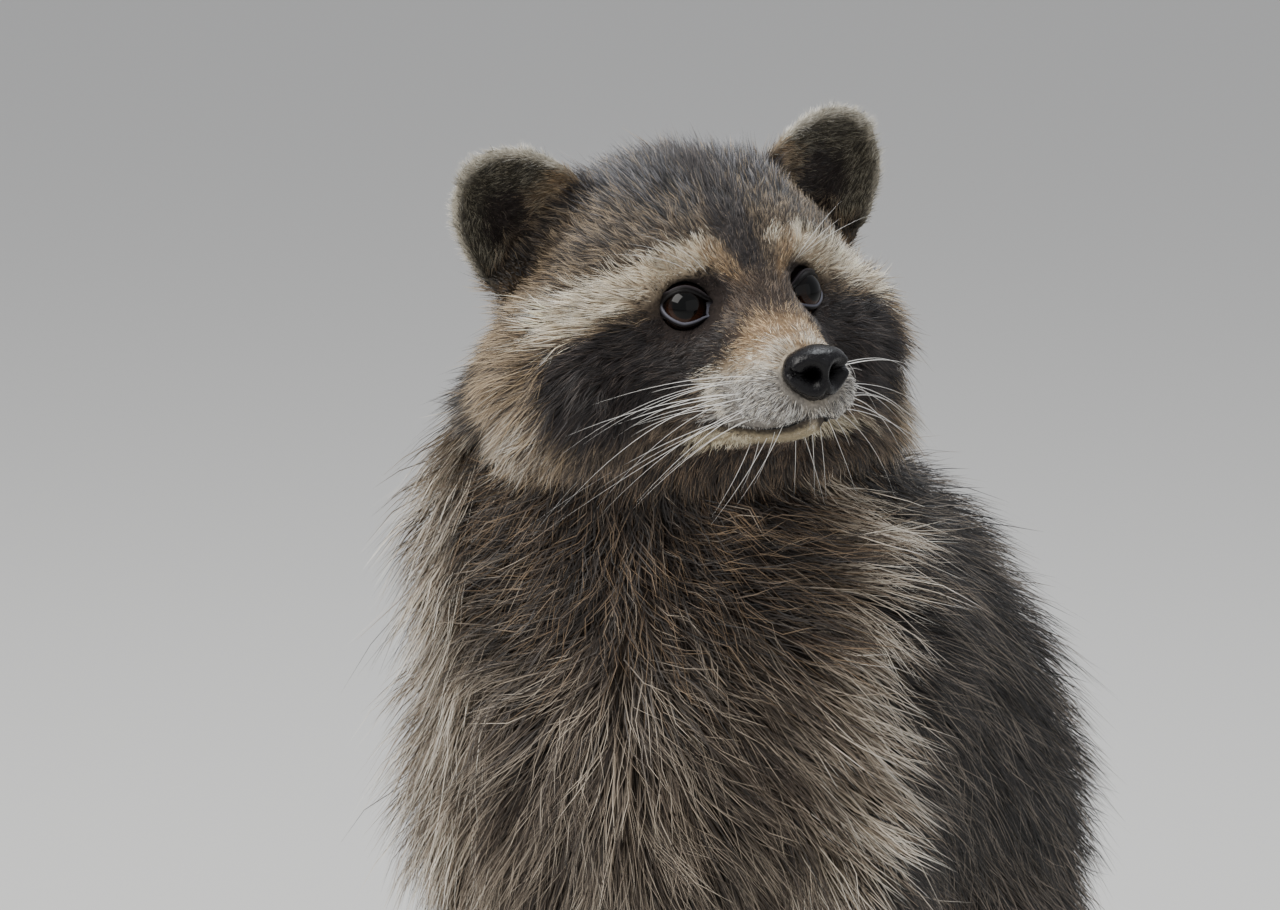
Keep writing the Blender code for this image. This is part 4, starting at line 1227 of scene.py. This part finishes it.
for part, where, weight, count, bands, lock_size, seed in COATS:
    roots, normals, lie, deep, random = scattered(where * weight, count, seed)
    head, body = in_head(roots), in_body(roots)
    forward, out, up = head[:, 0], abs(head[:, 1]), head[:, 2]
    ears = ear_share(head)
    forehead = step(4, 16, up) * step(-10, 10, forward) * (1 - ears)
    crown = step(28, 44, up) * step(50, 34, out) * (ears < 0.1)
    sides = step(30, 60, out) * step(30, -20, up)
    guard = random.random(count) < 0.08

    length = (2.0 * deep + 1.4) * (0.50 + 0.50 * step(10, 24, near_eyes(roots)[0]))
    length = length * (1 - 0.05 * step(60, 78, forward))
    length = length * (1 - 0.45 * step(-36, -44, up) * step(30, 45, forward))
    length = length * (1 - 0.22 * forehead) * (1 + 0.50 * crown)
    length = length * np.where(guard, 1.25, 1.0)
    width = (0.100 + 0.0044 * length) * np.where(guard, 0.8, 1.0) * (1 - 0.35 * ears) * (1 - 0.12 * forehead)
    lift = 0.48 + 0.10 * sides - 0.24 * step(50, 70, forward) + 0.42 * crown * step(-38, -8, forward)
    pull = (0.40 if part == "face_coat" else 0.55) * (1 - 0.75 * np.maximum(ears, step(46, 66, forward)))
    curl = np.full(count, 0.10)
    if part == "coat":
        throat = step(-105, -30, above_neck(head)) * step(55, 30, abs(body[:, 0] - CHEST_SIDE))
        throat = throat * step(0.3, -0.3, normals[:, 1])
        turn = round_chest(body)
        curl = 0.12 + 0.55 * throat
        length = length * (1 - 0.35 * throat)
        fringe = step(42, 58, turn) * step(84, 72, turn) * step(120, 200, body[:, 2])
        lift = lift + 0.15 * throat + 0.22 * fringe

    lock = locks_of(roots, lock_size * MM, seed)
    points = tufts(roots, normals, lie, length, width, lift, 0.55, pull[:, None], curl, lock, bands, random,
                   part != "face_coat")
    stops = colours_of(roots, normals, random.random(count), random.random(count))
    shade = 1 + 0.16 * random.normal(0, 1, lock.max() + 1)[lock] + 0.10 * random.normal(0, 1, count)
    stops = stops * shade.clip(0.5, 1.6)[:, None, None]
    places = unwrapped(roots, part)
    pieces = math.ceil(count * (2 * bands - 1) / MOST_TRIANGLES)
    for k, chosen in enumerate(np.array_split(np.argsort(places[:, 1]), pieces)):
        coat_piece(f"{part}_{k + 1}", part, points[chosen], stops[chosen], places[chosen], bands)

# ---------------------------------------------------------------- floor, light and camera
# A plain pale floor and backdrop, a broad key light from above, and a view from the animal's left front.
floor_finish, shader = new_finish("floor_finish", 0.85)
shader.inputs["Base Color"].default_value = (0.62, 0.61, 0.59, 1)
floor_mesh = bpy.data.meshes.new("floor")
floor_mesh.from_pydata([(-6, -6, 0), (6, -6, 0), (6, 6, 0), (-6, 6, 0)], [], [(0, 1, 2, 3)])
floor_mesh.materials.append(floor_finish)
floor = bpy.data.objects.new("floor", floor_mesh)
bpy.context.scene.collection.objects.link(floor)
floor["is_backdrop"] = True

world = bpy.data.worlds.new("studio")
bpy.context.scene.world = world
world.use_nodes = True
world.node_tree.nodes["Background"].inputs["Color"].default_value = (0.94, 0.96, 1.0, 1)
world.node_tree.nodes["Background"].inputs["Strength"].default_value = 0.66


def area_light(name, place, aim, size, power, colour):
    """A soft square lamp at a place, turned towards a point."""
    lamp = bpy.data.lights.new(name, "AREA")
    lamp.size = size
    lamp.energy = power
    lamp.color = colour
    item = bpy.data.objects.new(name, lamp)
    bpy.context.scene.collection.objects.link(item)
    item.location = place
    item.rotation_mode = "QUATERNION"
    item.rotation_quaternion = (Vector(aim) - Vector(place)).to_track_quat("-Z", "Y")
    return item


CHEST = Vector((0.04, -0.2, 0.3))
area_light("key", (-0.8, -1.1, 1.6), CHEST, 1.2, 34, (1.0, 0.975, 0.93))
area_light("top", (0.2, 0.3, 1.8), CHEST, 0.9, 20, (0.93, 0.97, 1.0))
area_light("fill", (1.6, -1.4, 0.7), CHEST, 2.4, 8, (1.0, 0.98, 0.95))

VIEW_SIDE, VIEW_RISE = math.radians(20), math.radians(10)
VIEW_DISTANCE, VIEW_WIDTH = 2.4, 0.457
toward = Vector((math.sin(VIEW_SIDE) * math.cos(VIEW_RISE), -math.cos(VIEW_SIDE) * math.cos(VIEW_RISE),
                 math.sin(VIEW_RISE)))
view_right = Vector((math.cos(VIEW_SIDE), math.sin(VIEW_SIDE), 0))
view_up = toward.cross(view_right)
camera = bpy.data.objects.new("camera", bpy.data.cameras.new("camera"))
bpy.context.scene.collection.objects.link(camera)
camera.location = Vector(eyes_middle) - view_right * 0.0360 - view_up * 0.0554 + toward * VIEW_DISTANCE
camera.rotation_mode = "QUATERNION"
camera.rotation_quaternion = (-toward).to_track_quat("-Z", "Y")
camera.data.lens = camera.data.sensor_width * VIEW_DISTANCE / VIEW_WIDTH
bpy.context.scene.camera = camera

low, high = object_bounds()
